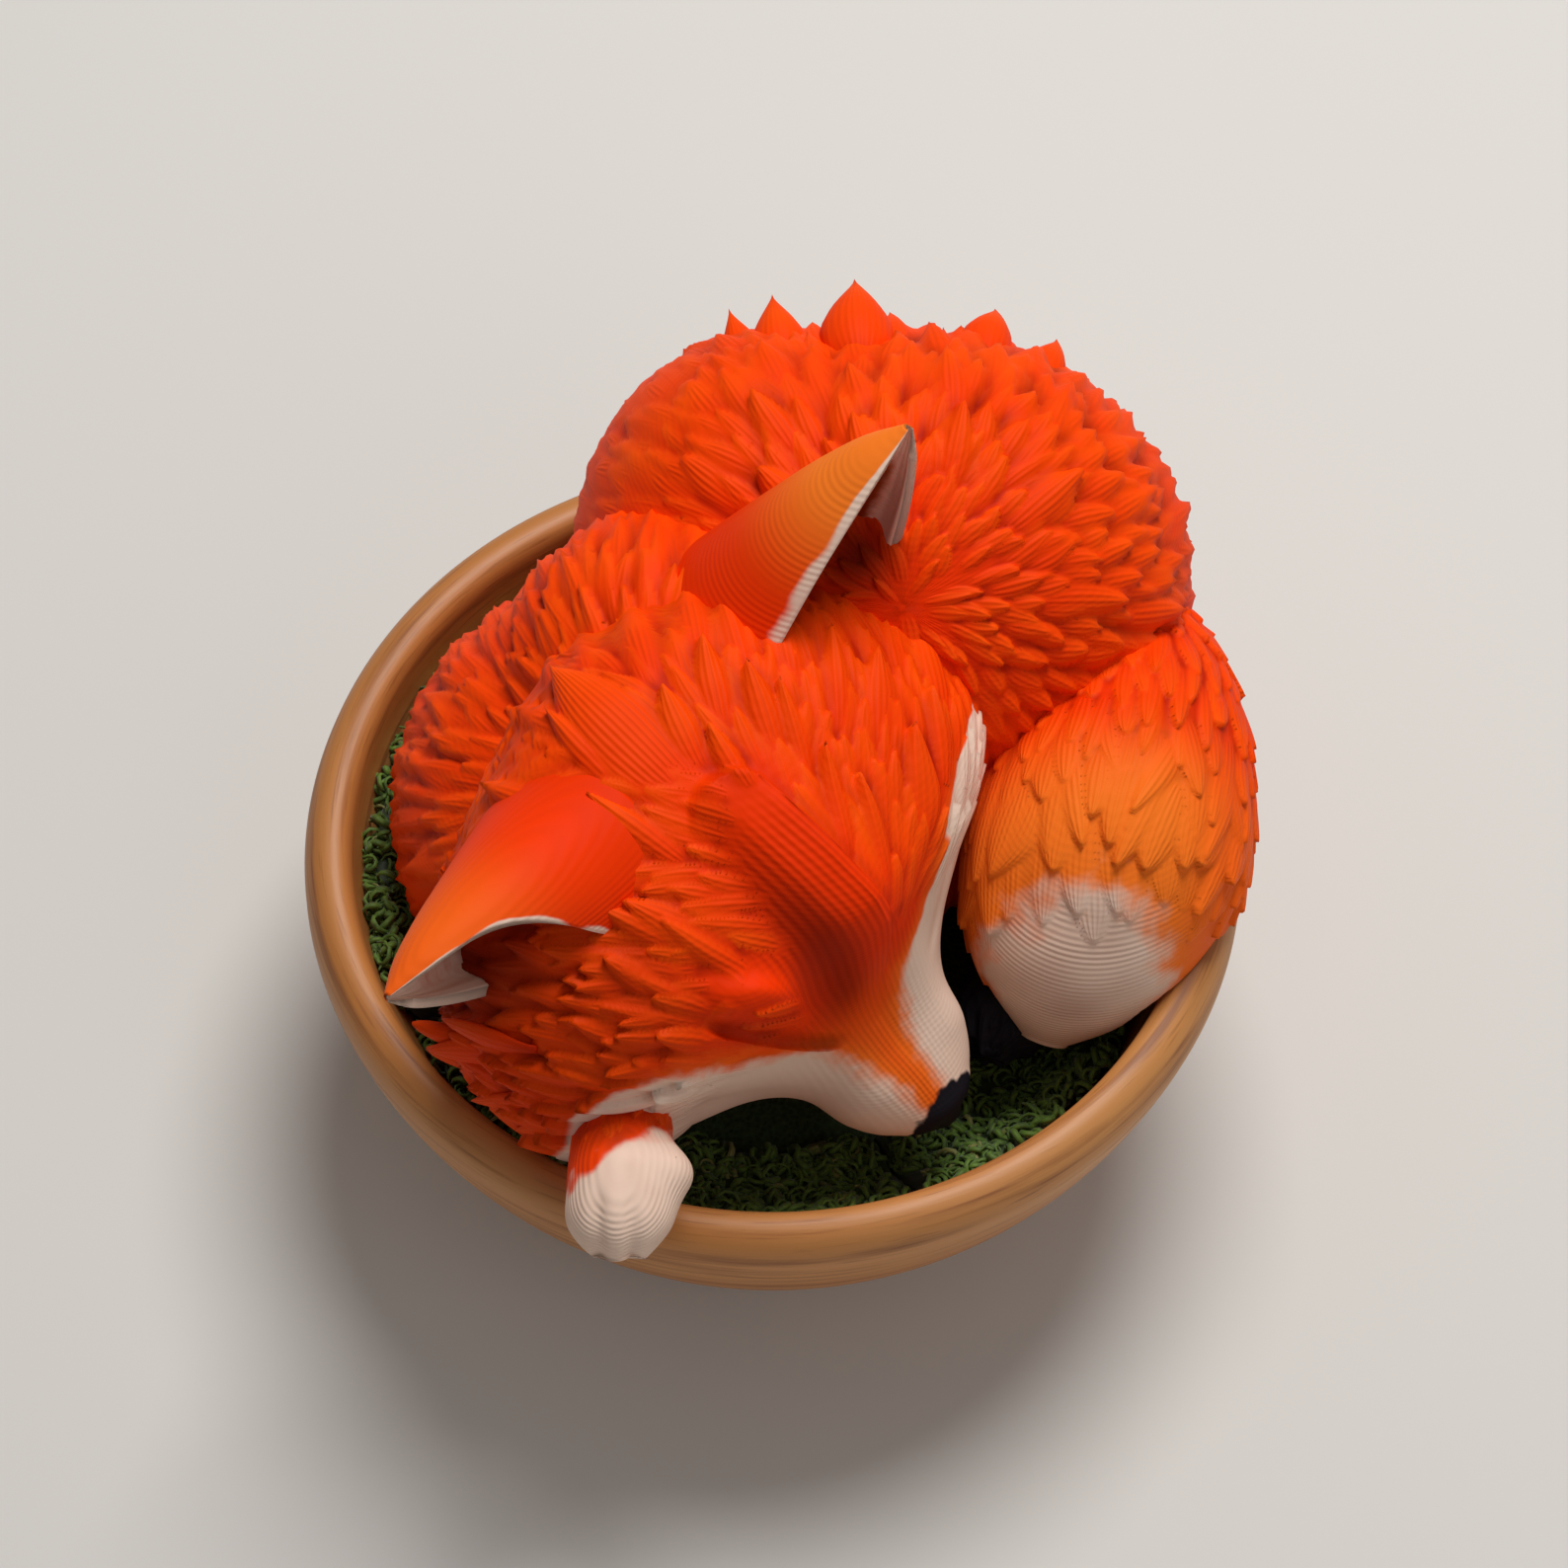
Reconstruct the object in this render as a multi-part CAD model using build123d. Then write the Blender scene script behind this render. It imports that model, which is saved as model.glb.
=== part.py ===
from build123d import *
import math
import os

# Sleeping fox figurine, curled up in a small turned wooden bowl with moss round it.
# Millimetres. The origin is the centre of the bowl's flat foot, and +Z is up.
# +X is to the right and -Y is towards someone who looks at the fox's face.

# Driving dimensions
BOWL_RADIUS = 45.0          # outside radius at the rim
BOWL_HEIGHT = 37.0
RIM_INNER_RADIUS = 40.3
FOOT_RADIUS = 24.0
FLOOR_THICKNESS = 4.5
BED_TOP = 15.0              # top of the foam bed under the moss
BED_RADIUS = 32.2
BED_FOOT_RADIUS = 22.5
LAY_GAP = 0.2               # clearance under the fox's flat belly
DOWEL_RADIUS = 1.5
DOWEL_FIT = 0.05            # clearance round a dowel

# Bowl section, as radius and height
WALL_BULGE = 3.8            # how far the outside wall stands out from a straight cone
INNER_BULGE = 3.6
RIM_BEVEL_HEIGHT = 33.0     # where the outside wall ends and the rim's rounding starts
RIM_SHOULDER = (44.4, 35.8)
RIM_FLAT_OUTER = 42.9
RIM_FLAT_INNER = 41.3
INNER_EDGE_HEIGHT = 35.6
FLOOR_RADIUS = 23.0

# Moss: eight clumps side by side in a ring on the foam bed
MOSS_NAMES = [
    "moss_right", "moss_back_right", "moss_back", "moss_back_left",
    "moss_left", "moss_front_left", "moss_front", "moss_front_right",
]
MOSS_SPLIT = 0.8            # degrees left between two clumps
# Sections of a clump behind and beside the fox, and of one under its chin: radius and height
MOSS_SECTION = [(28.4, 15.0), (29.9, 20.0), (32.6, 25.0), (35.9, 30.0), (37.4, 31.6), (38.8, 31.8),
                (39.1, 31.0), (38.3, 27.6), (37.4, 25.0), (35.3, 20.0), (32.3, 15.0)]
MOSS_FRONT_SECTION = [(24.0, 15.0), (25.0, 18.2), (30.6, 19.6), (34.0, 23.4), (36.4, 25.4),
                      (37.2, 25.2), (35.3, 20.0), (32.3, 15.0)]
MOSS_FRONT_NAMES = ["moss_front_left", "moss_front", "moss_front_right"]

# The fox's room inside the bowl, as radius at a height: it widens upwards, so the fox lifts out
ROOM = [(28.0, 15.0), (29.5, 20.0), (32.2, 25.0), (35.6, 30.0), (38.6, 34.0), (39.9, 36.4)]
ROOM_OVER_RIM = (41.2, 37.3)
ROOM_OUTER_RADIUS = 60.0
ROOM_HEIGHT = 100.0

# Fox forms: centre and half sizes of each rounded mass
BACK = ((14.0, 23.0, 44.0), (26.4, 23.6, 26.0))
FLANK = ((-1.0, 26.5, 43.2), (19.0, 21.0, 25.0))
BELLY_AT = (4.0, 10.0)      # flat underside that rests on the bed
BELLY_RADIUS = 20.0
BELLY_TOP = 34.0
RUFF = ((-17.2, 2.5, 36.0), (19.3, 22.5, 20.5))
NECK = ((-10.0, 8.5, 48.5), (16.0, 16.5, 17.0))

# Main locks of the back and the haunch: they point away from a crown behind the far ear, in rings of
# (degrees from the crown, first turn, last turn, number), as seen from a point inside the body
CROWN = (11.8, 7.2, 63.2)
BODY_MIDDLE = (6.0, 25.0, 43.5)
LOCK_RINGS = [(24.0, 168.0, 300.0, 5), (39.0, 162.0, 312.0, 7), (54.0, 158.0, 318.0, 9),
              (69.0, 164.0, 322.0, 9), (84.0, 182.0, 322.0, 8)]
LOCK_LENGTH = 17.0          # degrees, as seen from the same point
LOCK_HALF_WIDTH = (2.2, 2.9)  # on the first ring and on the last
LOCK_HALF_DEPTH = 1.2
LOCK_LIFT = 1.0             # how far a lock's tip stands out of the body
LOCK_WIDEST = 0.42          # where a lock is widest, as a share of its length

# Head pose: where the nose is, and how the head is turned
NOSE_AT = (16.1, -28.0, 31.5)
NOSE_LOCAL = (33.5, 0.0, -6.0)
HEAD_HEADING = 40.5         # degrees from +X towards -Y
HEAD_PITCH = 27.0           # degrees nose down
HEAD_ROLL = 4.0             # degrees, far side up

# Head sections along its length: distance forward, middle height, half width, up, down
HEAD = [
    (-21.0, 0.0, 6.0, 5.0, 5.0),
    (-18.0, -0.5, 14.0, 10.0, 9.5),
    (-12.0, -2.0, 23.0, 15.0, 12.0),
    (-5.0, -4.0, 28.0, 19.0, 11.5),
    (2.0, -5.5, 30.0, 21.0, 10.5),
    (8.0, -6.0, 29.0, 21.0, 10.0),
    (12.5, -6.0, 24.5, 19.5, 9.5),
    (16.0, -6.0, 18.5, 16.5, 8.5),
    (19.5, -6.2, 13.0, 12.5, 7.5),
    (23.5, -6.4, 9.0, 8.9, 6.6),
    (28.0, -6.6, 7.0, 6.6, 5.6),
    (31.5, -6.4, 5.2, 4.6, 4.2),
    (33.6, -6.0, 2.6, 2.4, 2.4),
]
SECTION_POINTS = 12

# Face forms on both sides of the head: centre with the side's distance, and half sizes
EYE = ((11.0, 11.0, 9.4), (4.8, 3.4, 3.7))
BROW = ((6.0, 3.4, 10.9), (9.5, 4.2, 5.2))
RIDGE = ((11.2, 0.7, 10.4), (7.2, 4.0, 5.6))
WHISKER_PAD = ((28.2, 3.6, -8.2), (4.6, 4.2, 3.8))
NOSE_PAD = ((33.2, 0.0, -5.4), (2.4, 2.9, 2.2))

# Main locks of the head: root and tip in the head's directions, half width and arch above the straight line
HEAD_LOCKS = [
    ((-4.9, -4.6, 14.9), (-21.4, -3.9, 5.6), 4.0, 2.6),
    ((-12.7, 5.1, 12.5), (-20.4, 13.4, 4.4), 1.7, 1.8),
    ((-15.0, 1.3, 11.4), (-22.9, 8.4, 3.4), 1.7, 1.1),
    ((-6.8, -1.7, 14.6), (-14.6, 1.0, 12.9), 1.7, 0.5),
    ((-7.6, 2.2, 14.4), (-15.2, 7.8, 12.0), 1.6, 0.5),
    ((-2.4, 4.0, 15.1), (-10.4, 9.0, 13.9), 1.6, 0.5),
    ((7.0, -11.4, 14.2), (-2.6, -15.6, 13.6), 1.7, 0.6),
    ((9.0, -17.0, 11.4), (1.4, -23.4, 9.6), 2.0, 0.8),
    ((7.0, -22.3, 8.6), (-0.4, -27.6, 5.8), 2.0, 0.7),
    ((11.6, -20.9, 6.2), (3.4, -27.6, 4.4), 2.0, 1.1),
    ((9.4, -24.8, 3.6), (3.4, -30.6, -2.8), 1.9, 1.1),
    ((1.8, -27.8, 1.6), (-4.4, -31.8, -6.4), 1.8, 0.3),
    ((10.8, -25.0, 0.6), (6.4, -31.0, -6.6), 1.8, 0.7),
    ((12.0, 9.0, 12.2), (4.4, 16.6, 12.9), 1.7, 0.7),
    ((3.4, 12.0, 13.8), (-3.4, 19.6, 11.4), 1.7, 0.6),
    ((5.0, 20.0, 9.6), (-1.6, 27.4, 6.2), 1.8, 0.7),
]

# Ears: middle of the base, tip, side that the hollow opens to, half width and half depth
FAR_EAR = ((0.4, 8.8, 58.8), (12.1, 13.6, 82.2), (0.75, -0.50, 0.20), 9.2, 11.6)
NEAR_EAR = ((-17.0, -17.0, 57.6), (-32.8, -35.8, 67.4), (0.61, -0.75, -0.25), 9.4, 10.2)
EAR_WALL = 1.3
EAR_HOLLOW_SHIFT = 2.8      # moves the hollow forward, so that it breaks out in front
EAR_STATIONS = [0.0, 0.25, 0.5, 0.72, 0.88, 1.0]
EAR_WIDTHS = [1.0, 0.95, 0.80, 0.56, 0.32, 0.10]
EAR_DEPTHS = [1.0, 0.88, 0.68, 0.46, 0.26, 0.10]

# Tail, forepaw and hind paw: points along the middle, and the radius at each
TAIL_PATH = [(33, 22, 38), (34.5, 14, 40.5), (34, 5.5, 42), (32, -2.5, 41),
             (29.5, -9.5, 37), (27, -15.5, 32), (25.5, -19, 28.5)]
TAIL_RADII = [7.0, 9.6, 12.0, 13.7, 12.6, 8.5, 3.0]
FOREPAW_PATH = [(-15, -15, 31.5), (-14.5, -22, 34), (-14, -29, 37.6), (-13.6, -36, 42.4),
                (-13.6, -42, 43.9), (-13.6, -46, 43.0), (-13.6, -48.6, 41.6)]
FOREPAW_RADII = [5.0, 5.0, 5.0, 5.2, 5.9, 5.0, 2.2]
HIND_PAW_PATH = [(24.5, 12, 28), (25.6, 4, 26.6), (25.5, -3, 26.4), (24, -9, 26.8), (22.4, -14, 27.2),
                 (21, -17.8, 27.4), (20.2, -20.2, 27.2)]
HIND_PAW_RADII = [4.4, 4.4, 4.5, 4.6, 4.7, 4.2, 2.0]

# Tufts that stand out of the back's outline: foot, tip and foot radius
BACK_TUFTS = [
    ((-3.6, 41.0, 56.0), (-4.3, 44.6, 60.4), 2.0),
    ((0.4, 40.6, 56.0), (-0.1, 45.5, 61.6), 2.6),
    ((7.4, 39.6, 56.0), (7.8, 46.2, 63.4), 3.4),
    ((12.4, 40.6, 56.6), (11.2, 44.2, 60.4), 1.9),
    ((20.2, 40.4, 56.0), (21.4, 44.6, 60.4), 2.4),
    ((26.0, 39.0, 54.0), (27.4, 42.6, 58.0), 2.0),
]
TUFT_TIP_RADIUS = 0.25

# Dowels that hold the glued pieces in line: the two ends of each
DOWELS = {
    "neck_dowel": ((-17.0, 6.0, 46.0), (-12.5, -3.0, 49.0)),
    "tail_dowel": ((34.0, 11.0, 41.0), (32.6, -4.0, 41.0)),
    "foreleg_dowel": ((-14.8, -13.0, 31.2), (-14.3, -26.0, 36.2)),
    "hind_leg_dowel": ((24.9, 11.0, 27.8), (25.5, -3.0, 26.4)),
}


def unit(vector):
    return vector * (1.0 / vector.length)


def head_frame():
    """Head origin and its forward, far-side and up directions."""
    heading = math.radians(HEAD_HEADING)
    pitch = math.radians(HEAD_PITCH)
    roll = math.radians(HEAD_ROLL)
    flat = Vector(math.cos(heading), -math.sin(heading), 0)
    side = Vector(math.sin(heading), math.cos(heading), 0)
    forward = flat * math.cos(pitch) - Vector(0, 0, math.sin(pitch))
    up = forward.cross(side)
    far_side = side * math.cos(roll) + up * math.sin(roll)
    top = forward.cross(far_side)
    ahead, aside, above = NOSE_LOCAL
    origin = Vector(*NOSE_AT) - forward * ahead - far_side * aside - top * above
    return origin, forward, far_side, top


HEAD_ORIGIN, HEAD_FORWARD, HEAD_SIDE, HEAD_UP = head_frame()


def on_head(ahead, aside, above):
    """A point given in the head's own directions."""
    return HEAD_ORIGIN + HEAD_FORWARD * ahead + HEAD_SIDE * aside + HEAD_UP * above


def ellipsoid(centre, half_sizes):
    """Rounded mass, level with the axes."""
    return Pos(*centre) * scale(Sphere(1), by=half_sizes)


def head_ellipsoid(centre, half_sizes, side):
    """Rounded mass in the head's directions, on the far side (1) or the near side (-1)."""
    ahead, aside, above = centre
    place = Plane(origin=on_head(ahead, aside * side, above), x_dir=HEAD_FORWARD, z_dir=HEAD_UP)
    return place.location * scale(Sphere(1), by=half_sizes)


def oval(plane, middle, half_width, up, down):
    """Egg-shaped face on a plane: two half ellipses of one width, run through by a smooth curve."""
    points = []
    for index in range(SECTION_POINTS):
        angle = 2 * math.pi * index / SECTION_POINTS
        height = up if math.sin(angle) > 0 else down
        across = half_width * math.cos(angle)
        points.append(plane.from_local_coords((across, middle + height * math.sin(angle))))
    return Face(Wire([Edge.make_spline(points, periodic=True)]))


def tube(path, radii):
    """Round form along a smooth line, with its own radius at each point of the line."""
    line = Spline(*path)
    sections = []
    for point, radius in zip(path, radii):
        along = line.tangent_at(Vector(*point))
        across = along.cross(Vector(0, 0, 1))
        plane = Plane(origin=point, x_dir=across, z_dir=along)
        sections.append(plane.location * Circle(radius).face())
    return loft(sections)


def bulged_arc(start, end, bulge):
    """Arc from start to end that stands out by bulge, away from the axis."""
    run = Vector(end[0] - start[0], end[1] - start[1])
    out = Vector(run.Y, -run.X) * (bulge / run.length)
    middle = ((start[0] + end[0]) / 2 + out.X, (start[1] + end[1]) / 2 + out.Y)
    return ThreePointArc(start, middle, end)


def make_bowl():
    """Turned bowl: one revolved section with a flat foot and a rounded rim."""
    with BuildPart() as bowl:
        with BuildSketch(Plane.XZ):
            with BuildLine():
                Line((0, 0), (FOOT_RADIUS, 0))
                bulged_arc((FOOT_RADIUS, 0), (BOWL_RADIUS, RIM_BEVEL_HEIGHT), WALL_BULGE)
                ThreePointArc(
                    (BOWL_RADIUS, RIM_BEVEL_HEIGHT), RIM_SHOULDER, (RIM_FLAT_OUTER, BOWL_HEIGHT)
                )
                Line((RIM_FLAT_OUTER, BOWL_HEIGHT), (RIM_FLAT_INNER, BOWL_HEIGHT))
                Line((RIM_FLAT_INNER, BOWL_HEIGHT), (RIM_INNER_RADIUS, INNER_EDGE_HEIGHT))
                bulged_arc(
                    (FLOOR_RADIUS, FLOOR_THICKNESS), (RIM_INNER_RADIUS, INNER_EDGE_HEIGHT), INNER_BULGE
                )
                Line((FLOOR_RADIUS, FLOOR_THICKNESS), (0, FLOOR_THICKNESS))
                Line((0, FLOOR_THICKNESS), (0, 0))
            make_face()
        revolve(axis=Axis.Z)
    return bowl.part


def revolved(points):
    """Solid turned about the bowl's axis from a closed outline of radius and height points."""
    outline = Polyline(*[(radius, 0, height) for radius, height in points], close=True)
    return revolve(Face(Wire(outline.edges())), axis=Axis.Z)


def make_foam_bed():
    """Cone-sided disc that fills the bottom of the bowl and carries the moss and the fox."""
    return revolved([
        (0, FLOOR_THICKNESS), (BED_FOOT_RADIUS, FLOOR_THICKNESS), (BED_RADIUS, BED_TOP), (0, BED_TOP),
    ])


def make_moss(name, index):
    """One clump: the ring's section carried round its share of the circle."""
    section = MOSS_FRONT_SECTION if name in MOSS_FRONT_NAMES else MOSS_SECTION
    share = 360 / len(MOSS_NAMES)
    outline = Polyline(*[(radius, 0, height) for radius, height in section], close=True)
    clump = revolve(Face(Wire(outline.edges())), axis=Axis.Z, revolution_arc=share - MOSS_SPLIT)
    return Rot(0, 0, (index - 0.5) * share + MOSS_SPLIT / 2) * clump


def make_room():
    """All the space that the fox may fill: inside the moss and the rim, and free above them."""
    return revolved(
        [(0, BED_TOP + LAY_GAP), (ROOM[0][0], BED_TOP + LAY_GAP)] + ROOM[1:]
        + [ROOM_OVER_RIM, (ROOM_OUTER_RADIUS, ROOM_OVER_RIM[1]), (ROOM_OUTER_RADIUS, ROOM_HEIGHT),
           (0, ROOM_HEIGHT)]
    )


def biggest(shape):
    """The largest solid of a cut, without the small chips beside it."""
    return max(shape.solids(), key=lambda solid: solid.volume)


def make_lock(root, tip, half_width, half_depth, lift):
    """Leaf-shaped lock of fur: an oval spindle that is lifted at its widest place."""
    run = tip - root
    outward = unit(lift - run * (lift.dot(run) / run.dot(run)))
    middle = Plane(origin=root + run * LOCK_WIDEST + lift, x_dir=outward.cross(run), z_dir=run)
    section = middle.location * Ellipse(half_width, half_depth).face()
    return loft([Vertex(*root), section, Vertex(*tip)], ruled=True)


def make_head():
    """Head from egg-shaped sections, with brows, closed eyes, whisker pads, nose and main locks."""
    sections = []
    for ahead, middle, half_width, up, down in HEAD:
        plane = Plane(origin=on_head(ahead, 0, 0), x_dir=HEAD_SIDE, z_dir=HEAD_FORWARD)
        sections.append(oval(plane, middle, half_width, up, down))
    head = loft(sections)
    for centre, half_sizes in (EYE, BROW, WHISKER_PAD):
        for side in (-1, 1):
            head += head_ellipsoid(centre, half_sizes, side)
    head += head_ellipsoid(*RIDGE, 1)
    head += head_ellipsoid(*NOSE_PAD, 1)
    for root, tip, half_width, arch in HEAD_LOCKS:
        start, end = on_head(*root), on_head(*tip)
        outward = unit((start + end) * 0.5 - HEAD_ORIGIN)
        head += make_lock(start, end, half_width, LOCK_HALF_DEPTH, outward * arch)
    return head


def make_ear(base, tip, opens_to, half_width, half_depth):
    """Pointed ear with a hollow that opens to one side."""
    foot = Vector(*base)
    run = Vector(*tip) - foot
    along = unit(run)
    opening = Vector(*opens_to)
    opening = unit(opening - along * opening.dot(along))
    across = along.cross(opening)
    outer, inner = [], []
    for station, width, depth in zip(EAR_STATIONS, EAR_WIDTHS, EAR_DEPTHS):
        place = Plane(origin=foot + run * station, x_dir=across, z_dir=along)
        outer.append(place.location * Ellipse(half_width * width, half_depth * depth).face())
        if station < EAR_STATIONS[-1]:
            inside = Plane(origin=place.origin + opening * EAR_HOLLOW_SHIFT, x_dir=across, z_dir=along)
            inner.append(
                inside.location
                * Ellipse(half_width * width - EAR_WALL, half_depth * depth - EAR_WALL / 2).face()
            )
    return loft(outer) - loft(inner)


def make_dowel(ends, fit):
    """Round pin between its two ends, or with a fit above nought the hole for it."""
    start, end = Vector(*ends[0]), Vector(*ends[1])
    along = unit(end - start)
    return Plane(origin=start - along * fit, z_dir=along).location * Cylinder(
        DOWEL_RADIUS + fit, (end - start).length + 2 * fit,
        align=(Align.CENTER, Align.CENTER, Align.MIN),
    )


def make_tuft(foot, tip, radius):
    """Pointed lock of fur that stands up from the back."""
    start, end = Vector(*foot), Vector(*tip)
    return Plane(origin=start, z_dir=end - start).location * Cone(
        radius, TUFT_TIP_RADIUS, (end - start).length,
        align=(Align.CENTER, Align.CENTER, Align.MIN),
    )


def crown_ray(from_crown, turn):
    """Direction from the body's middle, by degrees from the crown and a turn about that line."""
    axis = unit(Vector(*CROWN) - Vector(*BODY_MIDDLE))
    side = unit(axis.cross(Vector(0, 0, 1)))
    other = axis.cross(side)
    polar, angle = math.radians(from_crown), math.radians(turn)
    around = side * math.cos(angle) + other * math.sin(angle)
    return axis * math.cos(polar) + around * math.sin(polar)


def reach(ray):
    """Distance from the body's middle to where a ray leaves the outer of the two big masses."""
    furthest = 0
    for centre, half_sizes in (BACK, FLANK):
        start = [(m - c) / h for m, c, h in zip(BODY_MIDDLE, centre, half_sizes)]
        step = [r / h for r, h in zip(ray, half_sizes)]
        a = sum(s * s for s in step)
        b = sum(s * t for s, t in zip(step, start))
        c = sum(t * t for t in start) - 1
        furthest = max(furthest, (-b + math.sqrt(b * b - a * c)) / a)
    return furthest


def make_body_locks():
    """Main locks of the back and the haunch, ring by ring, each pointing away from the crown."""
    locks = []
    for index, (from_crown, first, last, count) in enumerate(LOCK_RINGS):
        share = index / (len(LOCK_RINGS) - 1)
        half_width = LOCK_HALF_WIDTH[0] + (LOCK_HALF_WIDTH[1] - LOCK_HALF_WIDTH[0]) * share
        for place in range(count):
            turn = first + (last - first) * place / (count - 1)
            rays = [crown_ray(from_crown + LOCK_LENGTH * part, turn) for part in (0, LOCK_WIDEST, 1)]
            root, widest, tip = [
                Vector(*BODY_MIDDLE) + ray * (reach(ray) + out) for ray, out in zip(rays, (-0.6, 0, LOCK_LIFT))
            ]
            lift = widest - (root + (tip - root) * LOCK_WIDEST)
            locks.append(make_lock(root, tip, half_width, LOCK_HALF_DEPTH, lift))
    return locks


def make_body():
    """Curled back and flank with a flat belly, the tufts along the spine and the main locks."""
    belly = Pos(*BELLY_AT, BED_TOP) * Cylinder(
        BELLY_RADIUS, BELLY_TOP - BED_TOP, align=(Align.CENTER, Align.CENTER, Align.MIN)
    )
    body = ellipsoid(*BACK) + ellipsoid(*FLANK) + belly
    for foot, tip, radius in BACK_TUFTS:
        body += make_tuft(foot, tip, radius)
    for lock in make_body_locks():
        body += lock
    return body


def make_fox():
    """All the fox's glued pieces by name, each cut to meet the ones before it."""
    room = make_room()
    forms = {
        "fox_head": make_head(),
        "fox_body": make_body(),
        "fox_ruff": ellipsoid(*RUFF) + ellipsoid(*NECK),
        "fox_tail": tube(TAIL_PATH, TAIL_RADII),
        "fox_forepaw": tube(FOREPAW_PATH, FOREPAW_RADII),
        "fox_hind_paw": tube(HIND_PAW_PATH, HIND_PAW_RADII),
        "fox_far_ear": make_ear(*FAR_EAR),
        "fox_near_ear": make_ear(*NEAR_EAR),
    }
    pieces = {}
    for name, form in forms.items():
        shape = form & room
        for earlier in pieces.values():
            shape -= earlier
        pieces[name] = biggest(shape)
    for ends in DOWELS.values():
        hole = make_dowel(ends, DOWEL_FIT)
        for piece in pieces:
            pieces[piece] = biggest(pieces[piece] - hole)
    for name, ends in DOWELS.items():
        pieces[name] = make_dowel(ends, 0)
    return pieces


def main():
    os.makedirs("parts", exist_ok=True)
    nodes = {"bowl": make_bowl(), "foam_bed": make_foam_bed()}
    for index, name in enumerate(MOSS_NAMES):
        nodes[name] = make_moss(name, index)
    nodes.update(make_fox())
    for name, shape in nodes.items():
        export_step(shape, f"parts/{name}.step")
        print(name, round(shape.volume), "mm3")


main()
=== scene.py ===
"""Sleeping fox figurine in a turned wooden bowl: the surfaces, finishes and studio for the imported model."""
import math
from functools import partial

import bpy
import numpy as np
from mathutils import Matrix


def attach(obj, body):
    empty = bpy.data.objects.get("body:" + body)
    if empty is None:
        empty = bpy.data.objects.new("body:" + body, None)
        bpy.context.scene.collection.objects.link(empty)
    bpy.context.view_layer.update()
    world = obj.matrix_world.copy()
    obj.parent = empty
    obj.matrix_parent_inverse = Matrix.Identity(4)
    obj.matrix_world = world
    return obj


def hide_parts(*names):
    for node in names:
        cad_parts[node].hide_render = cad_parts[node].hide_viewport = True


bl_info = {
    "name": "Sleeping Fox in a Bowl",
    "version": (1, 0, 0),
    "blender": (4, 5, 0),
    "location": "3D View > Sidebar > Fox",
    "description": "Dresses the fox figurine, its bowl and its moss, and sets up a plain studio",
    "category": "Object",
}

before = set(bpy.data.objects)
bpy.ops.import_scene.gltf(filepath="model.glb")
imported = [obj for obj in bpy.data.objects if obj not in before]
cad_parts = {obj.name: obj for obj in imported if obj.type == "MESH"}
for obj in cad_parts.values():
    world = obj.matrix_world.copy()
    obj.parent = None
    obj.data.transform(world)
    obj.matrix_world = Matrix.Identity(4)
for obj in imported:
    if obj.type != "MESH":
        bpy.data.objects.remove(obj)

MM = 0.001
ROUND = 2 * math.pi
FOX = "fox"
BOWL = "bowl"
PAINTS = ("cream", "soot", "glow", "deep")
FUR_CHANNELS = ("reach", "hollow_shade", "hair", "calm", *PAINTS)
GRAIN_CHANNELS = ("east", "north", "down")
MOSS_CHANNELS = ("depth", "tone")
PRINT = "Brushed acrylic on layered print"


# ---- sizes and colours ----

def paint(code):
    """Linear colour of an sRGB hex code: the sRGB curve undone for each channel."""
    channels = [int(code[start:start + 2], 16) / 255 for start in (1, 3, 5)]
    return (*(c / 12.92 if c <= 0.04045 else ((c + 0.055) / 1.055) ** 2.4 for c in channels), 1.0)


def colour(name, description, code):
    return bpy.props.FloatVectorProperty(
        name=name, description=description, subtype="COLOR", size=4, min=0, max=1, default=paint(code)
    )


def size(name, description, millimetres):
    return bpy.props.FloatProperty(
        name=name, description=description, subtype="DISTANCE", unit="LENGTH", min=0, precision=5,
        default=millimetres * MM,
    )


class FoxPaint(bpy.types.PropertyGroup):
    orange: colour("Orange", "Main coat of paint on the fur", "#F23600")
    # painted shade: the darker colour that the coat turns to in the hollows between the locks and in the hair grooves
    crevice_shade: colour("Ember", "Wash that stays in the hollows between the locks", "#981600")
    # painted shade: the darkest colour, by the nose bridge, in the eye's crease, on the near cheek, under the ears and
    # inside them
    shadow: colour("Shadow", "Darkest wash, beside the nose bridge and inside the ears", "#4E0D03")
    # painted highlight: the lighter colour on the tips of the locks
    tip_highlight: colour("Flame", "Dry-brushed tips of the locks", "#FF5C04")
    amber: colour("Amber", "Yellower paint on the far ear, the nose bridge and the tail", "#F97C24")
    cream: colour("Cream", "Muzzle, cheeks, ear linings, tail end and paw", "#ECCDB8")
    # painted shade: the colour the cream turns to in the hollows
    cream_shade: colour("Dusk", "Cream in the hollows", "#A87862")
    soot: colour("Soot", "Nose and hind sock", "#1B191F")


class FoxPrint(bpy.types.PropertyGroup):
    layer: size("Layer height", "Height of one printed layer, as its lines show", 0.42)
    hair: size("Hair width", "Distance between two sculpted hair lines on a lock", 0.62)
    hair_depth: size("Hair depth", "Depth of a sculpted hair line", 0.13)
    lock_rise: size("Lock rise", "How far a full-sized lock's tip stands off the coat", 1.25)


class BowlFinish(bpy.types.PropertyGroup):
    wood: colour("Wood", "Oiled beech", "#B57235")
    grain: colour("Grain", "Darker lines of the grain", "#7F451B")
    pale: colour("Pale wood", "Lighter bands of the grain", "#CC8E50")
    grain_width: size("Grain width", "Distance between two strong grain lines", 1.6)


class MossFinish(bpy.types.PropertyGroup):
    leaf: colour("Leaf", "Preserved moss where the light reaches it", "#5A7A1F")
    shade: colour("Shade", "Moss deep between the leaves", "#1D2C0C")
    straw: colour("Straw", "Dry tips among the moss", "#8E8A4A")
    strand: size("Strand", "Thickness of one curled leaf", 0.74)
    curls: bpy.props.IntProperty(
        name="Curls", description="Curled leaves on each clump", min=50, max=900, default=430
    )


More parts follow.
